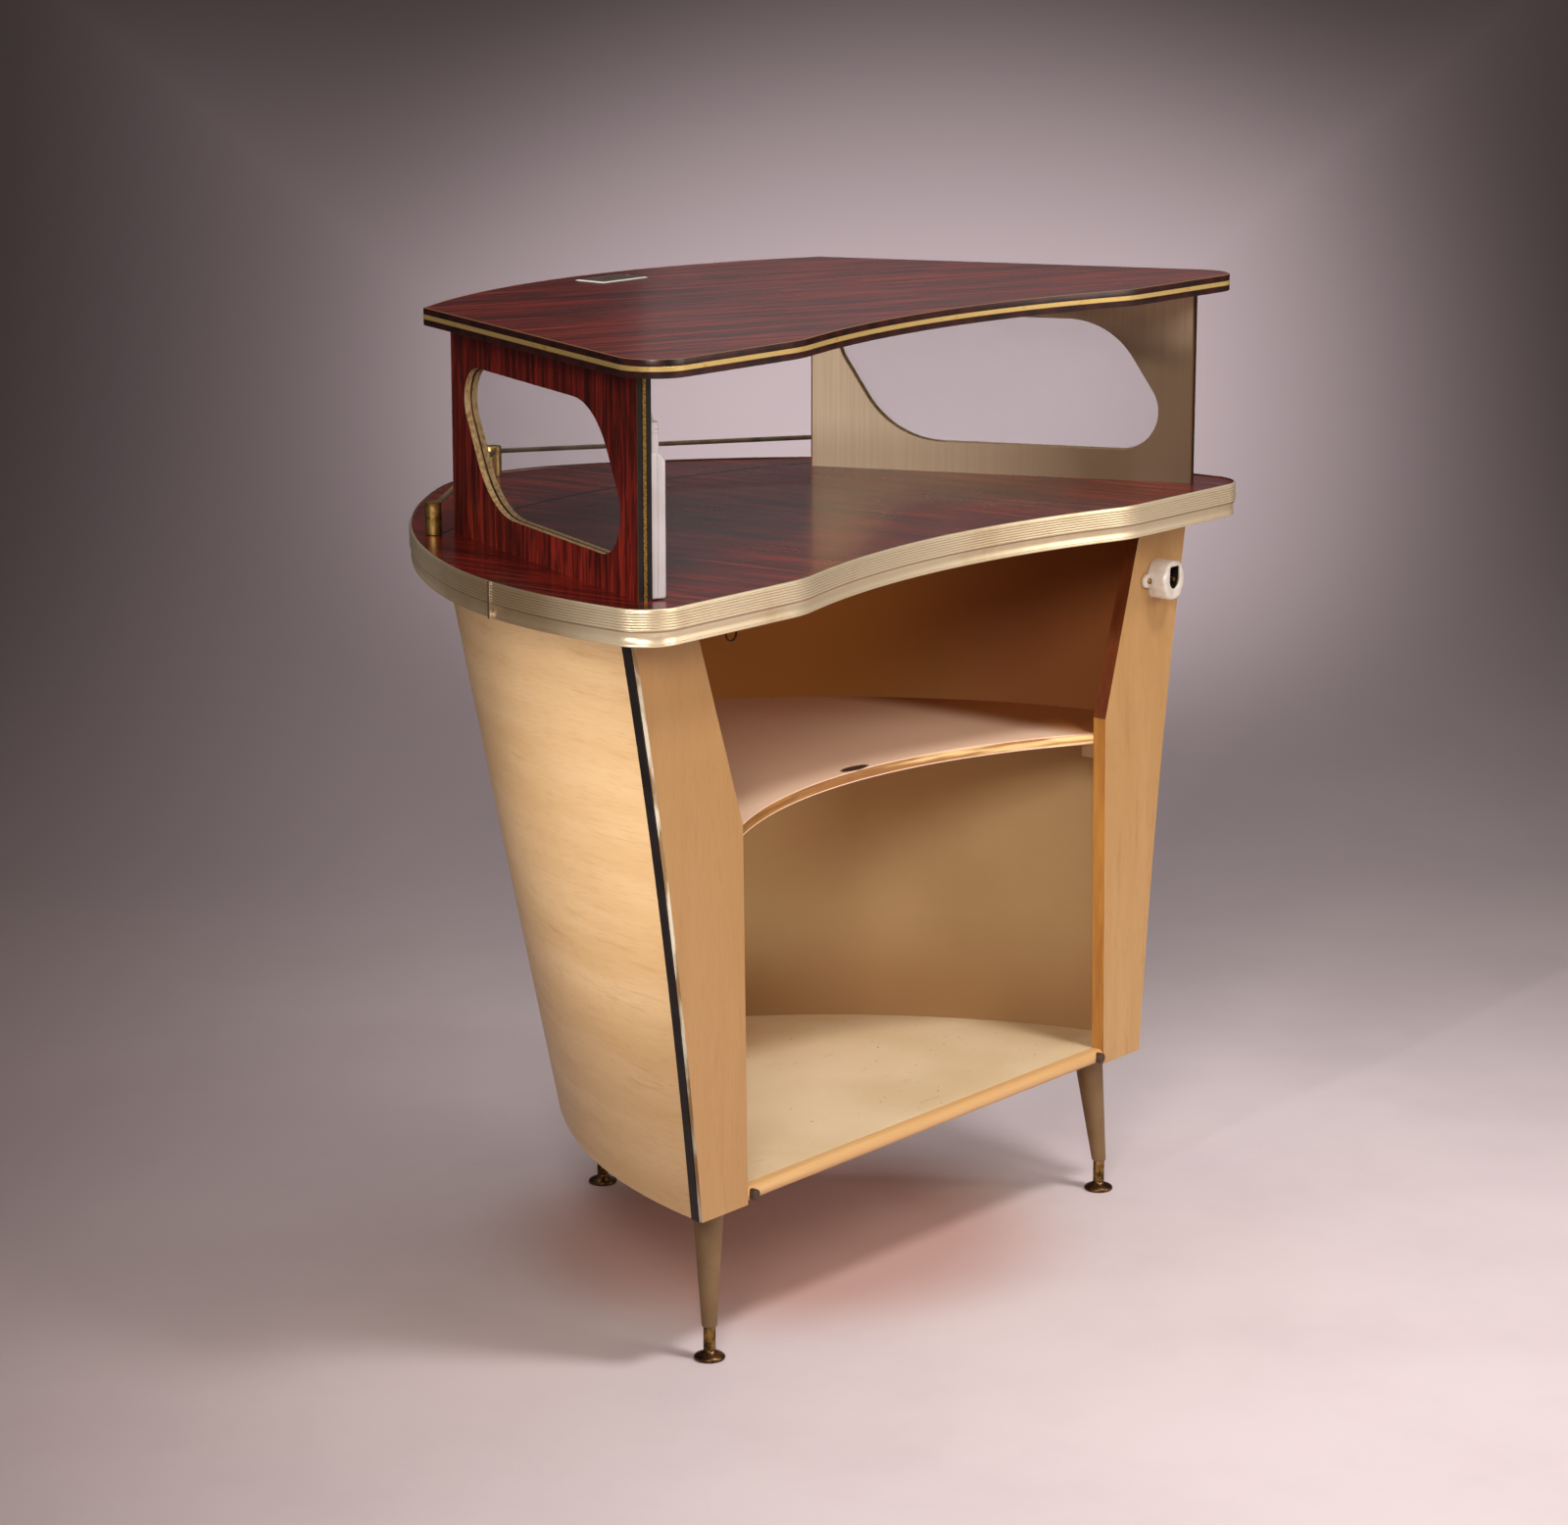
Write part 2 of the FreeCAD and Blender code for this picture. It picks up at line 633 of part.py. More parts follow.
def switch_box():
    """Switch box on the left panel's inner face: tray, cover, switch block, push button and cable gland."""
    far, low, high = box_near - box_width, box_foot_gap, box_foot_gap + box_height
    joint, face = panel_thickness + box_base_depth, panel_thickness + box_depth
    inside = box(far + box_wall, box_near - box_wall, panel_thickness + box_wall, face - box_wall,
                 low + box_wall, high - box_wall - box_chamfer)
    neck = box(cable_along - neck_width / 2, cable_along + neck_width / 2, panel_thickness,
               panel_thickness + neck_depth, high, high + neck_height)
    tray = box(far, box_near, panel_thickness, joint, low, high).cut(inside).fuse(neck).removeSplitter()
    parts["switch_box_tray"] = on_left_panel(tray)
    top_corner = [V(far, face - box_chamfer, high), V(far, face, high), V(far, face, high - box_chamfer)]
    wedge = Part.Face(Part.makePolygon(top_corner + top_corner[:1])).extrude(V(box_width, 0, 0))
    centre = V(box_near - button_inset, face, button_height)
    bore = Part.makeCylinder(button_diameter / 2 + button_clearance, 2 * box_wall, centre - V(0, box_wall, 0),
                             V(0, 1, 0))
    cover = box(far, box_near, joint, face, low, high).cut(wedge).cut(inside).cut(bore)
    parts["switch_box_cover"] = on_left_panel(cover)
    flange_out = face - box_wall - button_clearance
    flange_in = flange_out - button_flange_height
    block_face = flange_in - button_clearance - button_travel
    half = switch_block_size / 2
    block_near = min(centre.x + half, box_near - 2 * box_wall)
    block = box(block_near - switch_block_size, block_near, panel_thickness + box_wall, block_face,
                button_height - half, button_height + half)
    parts["switch_block"] = on_left_panel(block)
    stem = Part.makeCylinder(button_diameter / 2, face + button_proud - flange_in,
                             V(centre.x, flange_in, button_height), V(0, 1, 0))
    flange = Part.makeCylinder(button_diameter / 2 + button_flange, button_flange_height,
                               V(centre.x, flange_in, button_height), V(0, 1, 0))
    parts["switch_button"] = on_left_panel(stem.fuse(flange).removeSplitter())
    gland = Part.makeCone(gland_diameter / 2, cable_diameter / 2 + clip_wall, gland_height,
                          V(cable_along, cable_in, high + neck_height))
    parts["cable_gland"] = on_left_panel(gland)


def lamp():
    """Tube lamp under the top shelf and the cable that feeds it from the switch box, held by clips."""
    base_low = shelf_underside - lamp_base_height
    housing = box(-lamp_length / 2, lamp_length / 2, lamp_y - lamp_width / 2, lamp_y + lamp_width / 2,
                  base_low, shelf_underside)
    tube_z = base_low - tube_gap - tube_diameter / 2
    tube = Part.makeCylinder(tube_diameter / 2, tube_length, V(-tube_length / 2, lamp_y, tube_z), V(1, 0, 0))
    ends = []
    for side in (-1, 1):
        start = side * tube_length / 2
        stop = start + side * tube_cap_length
        ends.append(box(min(start, stop), max(start, stop), lamp_y - tube_diameter / 2,
                        lamp_y + tube_diameter / 2, tube_z - tube_diameter / 2, base_low))
    parts["lamp_base"] = housing
    parts["lamp_tube"] = tube
    parts["lamp_holders"] = Part.makeCompound(ends)
    foot = on_left_panel(Part.Vertex(V(cable_along, cable_in, cable_low))).Point
    run_z = shelf_underside - clip_wall - cable_diameter / 2
    end = V(-lamp_length / 2, lamp_y, run_z)
    corner = V(foot.x, foot.y, run_z)
    along = (end - corner).normalize()
    rise, out = corner - V(0, 0, cable_bend), corner + along * cable_bend
    hub = rise + along * cable_bend
    middle = hub + (V(0, 0, 1) - along).normalize() * cable_bend
    path = Part.Wire([line(foot, rise), Part.Arc(rise, middle, out).toShape(), line(out, end)])
    section = Part.Wire(Part.makeCircle(cable_diameter / 2, foot, V(0, 0, 1)))
    cable = path.makePipeShell([section], True, False)
    parts["lamp_cable"] = cable.cut(housing)
    clips = []
    for share in (0.2, 0.5, 0.8):
        centre = corner + along * (share * (end - corner).Length)
        clip = Part.makeBox(clip_length, cable_diameter + 2 * clip_wall, cable_diameter + 2 * clip_wall,
                            V(-clip_length / 2, -cable_diameter / 2 - clip_wall, 0))
        clip.rotate(V(0, 0, 0), V(0, 0, 1), math.degrees(math.atan2(along.y, along.x)))
        clip.translate(V(centre.x, centre.y, shelf_underside - cable_diameter - 2 * clip_wall))
        clips.append(clip.cut(cable))
    parts["cable_clips"] = Part.makeCompound(clips)


def mains_inlet():
    """Porcelain mains inlet on the right stile: body with a D-shaped mouth, two pins and two lug screws."""
    inlet_x, inlet_z = carcass_top_half - inlet_inset, floor_to_counter - inlet_drop
    seat = front_y(inlet_z)
    front = seat - inlet_depth
    block = box(inlet_x - inlet_width / 2, inlet_x + inlet_width / 2, front, reach,
                inlet_z - inlet_height / 2, inlet_z + inlet_height / 2)
    upright = [edge for edge in block.Edges if abs(edge.tangentAt(edge.FirstParameter).y) > 0.9]
    block = block.makeFillet(inlet_edge_radius, upright)
    reach_x = inlet_width / 2 + lug_width
    lugs = box(inlet_x - reach_x, inlet_x + reach_x, seat - lug_thickness, reach, inlet_z - lug_width / 2,
               inlet_z + lug_width / 2)
    rim = [edge for edge in lugs.Edges if abs(edge.tangentAt(edge.FirstParameter).y) > 0.9]
    lugs = lugs.makeFillet(lug_width / 2 - 0.5, rim)
    solid = block.fuse(lugs).cut(behind_front(0, 2 * reach))
    mouth_half = inlet_width / 2 - inlet_wall
    mouth = Part.makeCylinder(mouth_half, inlet_depth - inlet_back, V(inlet_x, front, inlet_z), V(0, 1, 0))
    flat = box(inlet_x - mouth_half, inlet_x + mouth_half, front, seat - inlet_back, inlet_z,
               inlet_z + inlet_height / 2 - inlet_wall)
    mouth = mouth.fuse(flat).removeSplitter()
    solid = solid.cut(mouth).removeSplitter()
    screws = []
    for side in (-1, 1):
        x = inlet_x + side * (inlet_width + lug_width) / 2
        screws.append(Part.makeCylinder(inlet_screw_diameter / 2, inlet_screw_head,
                                        V(x, seat - lug_thickness - inlet_screw_head, inlet_z), V(0, 1, 0)))
    pins = []
    for side in (-1, 1):
        x = inlet_x + side * pin_spacing / 2
        tip = V(x, seat - inlet_back - pin_length, inlet_z)
        pins.append(Part.makeCylinder(pin_diameter / 2, pin_length, tip, V(0, 1, 0)))
    parts["mains_inlet_body"] = solid
    parts["mains_inlet_pins"] = Part.makeCompound(pins)
    parts["mains_inlet_screws"] = Part.makeCompound(screws)


def screw_eye():
    """Wire eye screwed into the underside of the counter board, behind the lipping."""
    wire = eye_wire / 2
    edge, inward = serving_edge_at(counter_half_width - eye_side_inset)
    eye_x = -(edge + inward * eye_front_inset).x
    eye_y = (edge + inward * eye_front_inset).y
    eye_ring_z = counter_underside - eye_drop
    loop = Part.makeTorus(eye_ring_diameter / 2 - wire, wire, V(eye_x, eye_y, eye_ring_z), V(0, 1, 0))
    shank_low = eye_ring_z + eye_ring_diameter / 2 - wire
    shank = Part.makeCylinder(wire, counter_underside - shank_low, V(eye_x, eye_y, shank_low))
    parts["screw_eye"] = loop.fuse(shank)


def gallery():
    """Brass posts on the guests' ledge, their side screws and the two twisted rods between them."""
    places = {"left": V(-post_side_x, post_side_y, floor_to_counter),
              "nose": V(0, post_nose_y, floor_to_counter),
              "right": V(post_side_x, post_side_y, floor_to_counter)}
    rod_up = V(0, 0, post_height - rod_drop)
    rods = {}
    for side in ("left", "right"):
        span = places["nose"] - places[side]
        way = V(span.x, span.y, 0).normalize()
        trim_off = post_diameter / 2 - rod_seat
        start = places[side] + rod_up + way * trim_off
        rods[side] = Part.makeCylinder(rod_diameter / 2, span.Length - 2 * trim_off, start, way)
    screws = []
    for name, place in places.items():
        post = Part.makeCylinder(post_diameter / 2, post_height, place)
        for rod in rods.values():
            post = post.cut(rod)
        out = V(place.x, place.y - post_nose_y / 2, 0).normalize() if name != "nose" else V(0, 1, 0)
        start = place + V(0, 0, post_height - post_screw_drop) + out * (post_diameter / 2 - rod_seat)
        screw = Part.makeCylinder(post_screw_diameter / 2, rod_seat + post_screw_proud, start, out)
        screws.append(screw)
        parts["gallery_post_" + name] = post.cut(screw)
    parts["gallery_post_screws"] = Part.makeCompound(screws)
    for side in rods:
        parts["gallery_rod_" + side] = rods[side]


def legs():
    """Three splayed tapered legs with their plates and ferrules, and the levelling glides in them."""
    leg_side_x = carcass_bottom_half - leg_side_inset
    leg_side_y = carcass_front_bottom_y + leg_front_inset
    nose_centre_y = bow_centres(start_y=carcass_front_bottom_y, **carcass_bottom)[2]
    leg_nose_y = nose_centre_y + carcass_bottom_nose_radius - leg_nose_inset
    feet = {"left": (V(-leg_side_x, leg_side_y, 0), V(leg_splay, leg_side_splay, 0), 1),
            "right": (V(leg_side_x, leg_side_y, 0), V(-leg_splay, leg_side_splay, 0), 1),
            "nose": (V(0, leg_nose_y, 0), V(0, -leg_nose_splay, 0), -1)}
    plates, screws, ferrules = [], [], []
    for name, (foot, inward, back) in feet.items():
        top = foot + inward + V(0, 0, floor_to_carcass - leg_plate_thickness)
        half = leg_plate_size / 2
        plate_y = top.y + back * leg_plate_shift
        plate = box(top.x - half, top.x + half, plate_y - half, plate_y + half, top.z, floor_to_carcass)
        for across in (-1, 1):
            for along in (-1, 1):
                spread = half - leg_screw_inset
                spot = V(top.x + across * spread, plate_y + along * spread, top.z)
                head = Part.makeCylinder(leg_screw_head / 2, leg_screw_head_height,
                                         spot - V(0, 0, leg_screw_head_height))
                shank_length = leg_plate_thickness + leg_screw_length
                shank = Part.makeCylinder(leg_screw_diameter / 2, shank_length, spot)
                screw = head.fuse(shank)
                plate = plate.cut(screw)
                screws.append(screw)
        plates.append(plate)
        low = Part.Wire(Part.makeCircle(leg_end_diameter / 2, foot + V(0, 0, leg_end_height)))
        high = Part.Wire(Part.makeCircle(leg_top_diameter / 2, top))
        parts["leg_" + name] = Part.makeLoft([low, high], True, True)
        seat = foot + V(0, 0, glide_height)
        ferrule = Part.makeCylinder(ferrule_diameter / 2, ferrule_length, seat)
        bore = Part.makeCylinder(glide_stem_diameter / 2 + glide_clearance, ferrule_length, seat)
        ferrules.append(ferrule.cut(bore))
        rim = Part.makeCylinder(glide_diameter / 2, glide_rim, foot)
        dome = Part.makeCone(glide_diameter / 2, glide_collar_diameter / 2, glide_height - glide_rim,
                             foot + V(0, 0, glide_rim))
        stem = Part.makeCylinder(glide_stem_diameter / 2, glide_stem_length, seat)
        parts["glide_" + name] = rim.fuse(dome).fuse(stem).removeSplitter()
    fixings = Part.makeCompound(screws)
    parts["leg_ferrules"] = Part.makeCompound(ferrules)
    parts["leg_plates"] = Part.makeCompound(plates)
    parts["leg_plate_screws"] = fixings
    parts["base_panel"] = parts["base_panel"].cut(fixings)


carcass()
base()
inner_shelf()
counter()
side_panels()
top_shelf()
switch_box()
lamp()
mains_inlet()
screw_eye()
gallery()
legs()

os.makedirs("parts", exist_ok=True)
for node, shape in parts.items():
    shape.exportStep(os.path.join("parts", node + ".step"))
    print(node, "solids", len(shape.Solids), "volume", round(shape.Volume), "valid", shape.isValid())
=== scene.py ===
# %% [markdown]
# # A free-standing home bar of the 1950s
# The bar is seen from the serving side. A bowed maple body stands on three splayed legs, carries a rosewood
# counter with a reeded metal edge, and above it a second shelf on two splayed, glazed panels. The solids
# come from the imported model, so this lesson adds what plain solids can't show: round edges, reeding, twist
# and finishes.

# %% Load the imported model
import math

import bmesh
import bpy
import numpy as np
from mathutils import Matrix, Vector


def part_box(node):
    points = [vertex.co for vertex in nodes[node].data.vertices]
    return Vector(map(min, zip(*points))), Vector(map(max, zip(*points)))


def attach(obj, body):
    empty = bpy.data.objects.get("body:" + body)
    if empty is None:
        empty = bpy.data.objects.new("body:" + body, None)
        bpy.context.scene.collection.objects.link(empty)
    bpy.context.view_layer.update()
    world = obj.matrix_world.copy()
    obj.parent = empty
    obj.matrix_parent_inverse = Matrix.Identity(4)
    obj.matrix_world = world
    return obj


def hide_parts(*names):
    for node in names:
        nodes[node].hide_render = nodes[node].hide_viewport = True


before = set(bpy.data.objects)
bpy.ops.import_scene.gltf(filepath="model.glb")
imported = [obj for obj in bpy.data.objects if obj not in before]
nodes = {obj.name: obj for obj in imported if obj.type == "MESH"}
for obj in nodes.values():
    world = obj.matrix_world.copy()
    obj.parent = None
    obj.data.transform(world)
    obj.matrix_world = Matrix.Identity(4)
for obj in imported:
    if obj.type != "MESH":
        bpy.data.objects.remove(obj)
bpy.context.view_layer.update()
scene = bpy.context.scene
scene.view_settings.view_transform = "Standard"

# %% [markdown]
# ## Camera
# The photograph was taken with a long lens from the server's left, a little above the counter. The place,
# the turn and the focal length were found by fitting known edges of the bar, so the camera is written down
# as numbers instead of being aimed by eye.

# %% Camera
photo_width = 1600
focal_pixels = 4194.7
camera_yaw = math.radians(50.54)
camera_pitch = math.radians(13.03)
camera_place = (-3.8017, -3.2322, 1.7483)


def put(name, data, place, way):
    """Object in the scene at a place, looking along a way."""
    made = bpy.data.objects.new(name, data)
    made.location = place
    made.rotation_mode = "QUATERNION"
    made.rotation_quaternion = way.to_track_quat("-Z", "Y")
    scene.collection.objects.link(made)
    return made


camera_data = bpy.data.cameras.new("camera")
camera_data.sensor_fit = "HORIZONTAL"
camera_data.lens = focal_pixels / photo_width * camera_data.sensor_width
level = math.cos(camera_pitch)
forward = Vector((math.sin(camera_yaw) * level, math.cos(camera_yaw) * level, -math.sin(camera_pitch)))
scene.camera = put("camera", camera_data, camera_place, forward)
print("lens", round(camera_data.lens, 2), "mm")


# %% [markdown]
# ## Shader maths as Python
# A finish is easier to read as an expression than as a net of wires. The class Value wraps a socket, so
# that adding or multiplying two of them adds the Math nodes. Finish holds one material, the position on its
# piece, and a single method that adds any other node.

# %% Values
class Value:
    """A socket of a material's tree. Arithmetic on it adds Math nodes."""

    def __init__(self, finish, socket):
        self.finish = finish
        self.socket = socket

    def math(self, operation, *others):
        """A Math node with this value first."""
        return self.finish.node("ShaderNodeMath", {"operation": operation}, [self, *others])

    def __add__(self, other):
        return self.math("ADD", other)

    def __sub__(self, other):
        return self.math("SUBTRACT", other)

    def __rsub__(self, other):
        return self.finish.node("ShaderNodeMath", {"operation": "SUBTRACT"}, [other, self])

    def __mul__(self, other):
        return self.math("MULTIPLY", other)

    __radd__ = __add__
    __rmul__ = __mul__

    def ease(self, low, high):
        """Soft step: 0 below low, 1 above high, or the other way round where low is the larger."""
        return self.finish.node("ShaderNodeMapRange", {"interpolation_type": "SMOOTHSTEP"},
                                {"Value": self, "From Min": low, "From Max": high})


# %% Finishes
class Finish:
    """A material with one Principled shader. Its place, x, y and z are the position in metres."""

    def __init__(self, name, **sockets):
        self.material = bpy.data.materials.new(name)
        self.material.use_nodes = True
        self.tree = self.material.node_tree
        self.shader = self.tree.nodes["Principled BSDF"]
        self.place = self.node("ShaderNodeTexCoord", output="Object")
        self.x, self.y, self.z = self.parts(self.place)
        self.set(**sockets)

    def set(self, **sockets):
        """Values or links of the shader's sockets, with an underscore for each space in their names."""
        for name, value in sockets.items():
            self.feed(self.shader.inputs[name.replace("_", " ")], value)

    def feed(self, socket, value):
        """Link a value to a socket, or set the socket to a number or colour."""
        if isinstance(value, Value):
            self.tree.links.new(value.socket, socket)
        else:
            socket.default_value = value

    def node(self, kind, settings=None, inputs=(), output=0):
        """Any node: its type, its settings, the values or links of its sockets, and which output to use."""
        made = self.tree.nodes.new(kind)
        for name, value in (settings or {}).items():
            setattr(made, name, value)
        pairs = inputs.items() if isinstance(inputs, dict) else enumerate(inputs)
        for name, value in pairs:
            self.feed(made.inputs[name], value)
        return Value(self, made.outputs[output])

    def parts(self, vector):
        """The X, Y and Z of a vector."""
        split = self.node("ShaderNodeSeparateXYZ", None, [vector]).socket.node
        return [Value(self, output) for output in split.outputs]

    def facing(self):
        """The X, Y and Z of the surface's own direction."""
        return self.parts(self.node("ShaderNodeNewGeometry", output="Normal"))

    def stretch(self, vector, scale, turn=0.0):
        """Pattern coordinates, larger numbers for finer patterns, turned about Z."""
        return self.node("ShaderNodeMapping", None,
                         {"Vector": vector, "Scale": scale, "Rotation": (0, 0, turn)})

    def noise(self, marks, detail, rough=0.5, place=None, turn=0.0):
        """Cloudy noise from 0 to 1, with so many marks per metre, or a number of marks for each axis."""
        place = place or self.place
        if not isinstance(marks, float):
            place = self.stretch(place, marks, turn)
            marks = 1.0
        return self.node("ShaderNodeTexNoise", None,
                         {"Vector": place, "Scale": marks, "Detail": detail, "Roughness": rough}, "Fac")

    def sway(self, vector, scale, amount):
        """Coordinates that drift by up to an amount, so that straight grain waves."""
        cloud = self.node("ShaderNodeTexNoise", None,
                          {"Vector": vector, "Scale": scale, "Detail": 2.0}, "Color")
        drift = self.node("ShaderNodeVectorMath", {"operation": "SUBTRACT"}, [cloud, (0.5, 0.5, 0.5)])
        scaled = self.node("ShaderNodeVectorMath", {"operation": "SCALE"}, {0: drift, "Scale": amount})
        return self.node("ShaderNodeVectorMath", {"operation": "ADD"}, [vector, scaled])

    def mix(self, share, first, second):
        """Colour between two colours."""
        return self.node("ShaderNodeMix", {"data_type": "RGBA"}, {0: share, 6: first, 7: second}, 2)

    def colour(self):
        """What feeds the base colour so far."""
        return Value(self, self.shader.inputs["Base Color"].links[0].from_socket)

    def tint(self, share, colour):
        """Mix one more colour into the base colour."""
        self.set(Base_Color=self.mix(share, self.colour(), colour))

    def bump(self, height, strength, depth):
        """Surface direction from a height pattern."""
        return self.node("ShaderNodeBump", None, {"Strength": strength, "Distance": depth, "Height": height})


# %% Screen colours
def tone(red, green, blue):
    """Colour as read on a screen, from 0 to 255, as the linear values that a shader reads."""
    share = np.array((red, green, blue)) / 255
    linear = np.where(share <= 0.04045, share / 12.92, ((share + 0.055) / 1.055) ** 2.4)
    return (*linear.tolist(), 1.0)


# %% [markdown]
# ## Studio sweep and light
# The bar stands on a roll of pale paper that runs back, curves up and becomes the backdrop, so no line
# shows where the floor ends. Two large square lamps and one overhead give the soft shadows, and a dim one
# behind adds sheen. Spots do the rest: one for the floor in front, two for the bowed side, one for the
# inside of the right panel and one for the pool of light behind.

# %% Lamps and world
warm_white, plain_white = (255, 249, 242), (255, 255, 255)


def soft_box(name, place, target, width, power, colour=plain_white):
    """Square lamp that faces a point."""
    lamp = bpy.data.lights.new(name, "AREA")
    lamp.size = width
    lamp.energy = power
    lamp.color = tone(*colour)[:3]
    put(name, lamp, place, Vector(target) - Vector(place))


def spot(name, place, target, cone, power, width):
    """Round lamp of a width with a soft-edged cone, aimed at a point."""
    lamp = bpy.data.lights.new(name, "SPOT")
    lamp.spot_size = math.radians(cone)
    lamp.spot_blend = 1.0
    lamp.shadow_soft_size = width / 2
    lamp.energy = power
    put(name, lamp, place, Vector(target) - Vector(place))


soft_box("key_lamp", (-4.2, -2.9, 3.0), (0.0, 0.0, 0.8), 1.4, 130, warm_white)
soft_box("fill_lamp", (1.8, -5.0, 2.7), (0.0, 0.0, 0.5), 3.2, 112, warm_white)
soft_box("top_lamp", (0.5, 0.4, 4.2), (0.0, 0.0, 0.9), 2.2, 50)
soft_box("sheen_lamp", (3.2, 1.9, 2.4), (0.0, 0.0, 1.0), 1.7, 1.5)
spot("floor_spot", (0.3, -2.4, 4.4), (0.05, -0.85, 0.0), 40, 470, 0.8)
spot("side_spot", (-4.2, -0.6, 1.4), (-0.48, -0.2, 0.64), 15, 290, 0.1)
spot("side_pool_spot", (-4.2, -0.6, 1.4), (-0.47, -0.2, 0.61), 8, 300, 0.1)
spot("panel_spot", (-2.5, 1.5, 1.3), (0.36, 0.06, 1.06), 12, 480, 0.1)
spot("backdrop_spot", (0.83, -0.2, 3.6), (3.1, 2.08, 0.3), 36, 730, 0.6)

world = bpy.data.worlds.new("studio")
world.use_nodes = True
world.node_tree.nodes["Background"].inputs["Color"].default_value = tone(212, 202, 204)
world.node_tree.nodes["Background"].inputs["Strength"].default_value = 0.2
scene.world = world
print("lamps", len(bpy.data.lights))

# %% Paper finish
paper_finish = Finish("sweep_paper", Roughness=0.7)
east, north = paper_finish.x, paper_finish.y
behind = east * math.sin(camera_yaw) + north * math.cos(camera_yaw)
rightwards = east * math.cos(camera_yaw) - north * math.sin(camera_yaw)
paper_scuff = paper_finish.noise(2.5, 6.0, 0.65)
pale_tone = paper_finish.mix(paper_scuff.ease(0.35, 0.75), tone(220, 205, 206), tone(212, 196, 198))
# Painted shade: the near paper darkens to the left, where a soft shadow falls.
near_paper_painted_shade = paper_finish.mix((0 - rightwards).ease(-0.1, 1.3), pale_tone, tone(150, 132, 131))
# Painted shade: further back the paper darkens towards the sides and upwards, and the near tone gives way to
# it with distance behind the bar.
aside = (rightwards - 0.1).math("ABSOLUTE")
rim_shade = aside.ease(0.4, 1.9).math("MAXIMUM", paper_finish.z.ease(0.5, 1.6))
far_paper_painted_shade = paper_finish.mix(rim_shade, tone(162, 147, 151), tone(70, 56, 57))
paper_finish.set(Base_Color=paper_finish.mix(behind.ease(-0.2, 3.4), near_paper_painted_shade, far_paper_painted_shade))
# Painted shadow: a reddish shade on the paper round the foot of the bar.
from_bar = (east * east + (north + 0.1) * (north + 0.1)).math("SQRT")
paper_finish.tint(from_bar.ease(0.42, 0.2) * 0.7, tone(184, 132, 116))
print("paper, shader nodes", len(paper_finish.tree.nodes))

# %% Sweep
sweep_front, sweep_bend, sweep_radius, sweep_height, sweep_half_width = -9.0, 1.7, 2.6, 5.0, 9.0
sweep_back = np.array((math.sin(camera_yaw), math.cos(camera_yaw), 0.0))
sweep_side = np.array((math.cos(camera_yaw), -math.sin(camera_yaw), 0.0))
bend = np.radians(np.linspace(-90, 0, 40))
run = np.concatenate([np.linspace(sweep_front, sweep_bend, 30), sweep_bend + sweep_radius * np.cos(bend),
                      [sweep_bend + sweep_radius]])
rise = np.concatenate([np.zeros(30), sweep_radius * (1 + np.sin(bend)), [sweep_height]])
edge = run[:, None] * sweep_back + rise[:, None] * np.array((0.0, 0.0, 1.0))
paper_points = np.concatenate([edge - sweep_half_width * sweep_side, edge + sweep_half_width * sweep_side])
step = np.arange(len(edge) - 1)
paper_faces = np.stack([step, step + len(edge), step + len(edge) + 1, step + 1], axis=1)
paper_mesh = bpy.data.meshes.new("sweep")
paper_mesh.from_pydata(paper_points.tolist(), [], paper_faces.tolist())
paper_mesh.shade_smooth()
paper_mesh.materials.append(paper_finish.material)
paper = bpy.data.objects.new("sweep", paper_mesh)
scene.collection.objects.link(paper)
print("sweep faces", len(paper_mesh.polygons))


# %% [markdown]
# ## Rosewood laminate
# The counter, the top shelf and the outsides of the panels are covered with a printed rosewood laminate:
# deep red with near-black streaks a few millimetres wide and a hand long, under a half gloss. Noise that is
# stretched along the grain gives the streaks, and coordinates that drift a little make them wave. The two
# sheets were laid in different directions, so their coordinates are turned first. The counter's sheet also
# has a narrow curved groove.

# %% Rosewood laminate
rosewood_red, rosewood_deep, rosewood_black = tone(150, 42, 28), tone(98, 24, 16), tone(24, 9, 8)
sheet_grain, panel_grain = (5.0, 105.0, 105.0), (140.0, 140.0, 8.0)
seam_centre_y, seam_radius, seam_reach = -0.7482, 0.947, 0.365


def rosewood_colour(finish, place, grain):
    """Red figure, deep patches and black streaks; grain is the marks per metre along X, Y and Z."""
    place = finish.sway(finish.sway(place, 5.0, 0.018), 40.0, 0.0015)
    figure = finish.noise([0.45 * share for share in grain], 3.0, 0.6, place)
    streak = finish.noise(grain, 2.0, 0.6, place)
    pore = finish.noise([2.3 * share for share in grain], 2.0, 0.5, place)
    ground = finish.mix(figure.ease(0.36, 0.64), rosewood_red, rosewood_deep)
    marked = finish.mix(streak.ease(0.47, 0.57) * 0.66, ground, rosewood_black)
    return finish.mix(pore.ease(0.54, 0.66) * 0.45, marked, rosewood_black)


def laminate(name, turn):
    """Half-gloss sheet with its grain turned about Z by some degrees."""
    finish = Finish(name, Coat_Weight=0.25, Coat_Roughness=0.12)
    turned_place = finish.stretch(finish.place, (1.0, 1.0, 1.0), math.radians(turn))
    finish.set(Base_Color=rosewood_colour(finish, turned_place, sheet_grain),
               Roughness=0.2 + 0.12 * finish.noise(9.0, 4.0))
    return finish


top_finish = laminate("top_rosewood", 20)
counter_finish = laminate("counter_rosewood", 84)
# Painted shade: the curved groove is drawn as a near-black line a few millimetres wide.
from_centre = counter_finish.y - seam_centre_y
seam_distance = (counter_finish.x * counter_finish.x + from_centre * from_centre).math("SQRT") - seam_radius
along_seam = counter_finish.x.math("ABSOLUTE").ease(seam_reach + 0.001, seam_reach)
counter_finish.tint(seam_distance.math("ABSOLUTE").ease(0.0042, 0.003) * along_seam, tone(16, 8, 8))
print("counter laminate, shader nodes", len(counter_finish.tree.nodes))
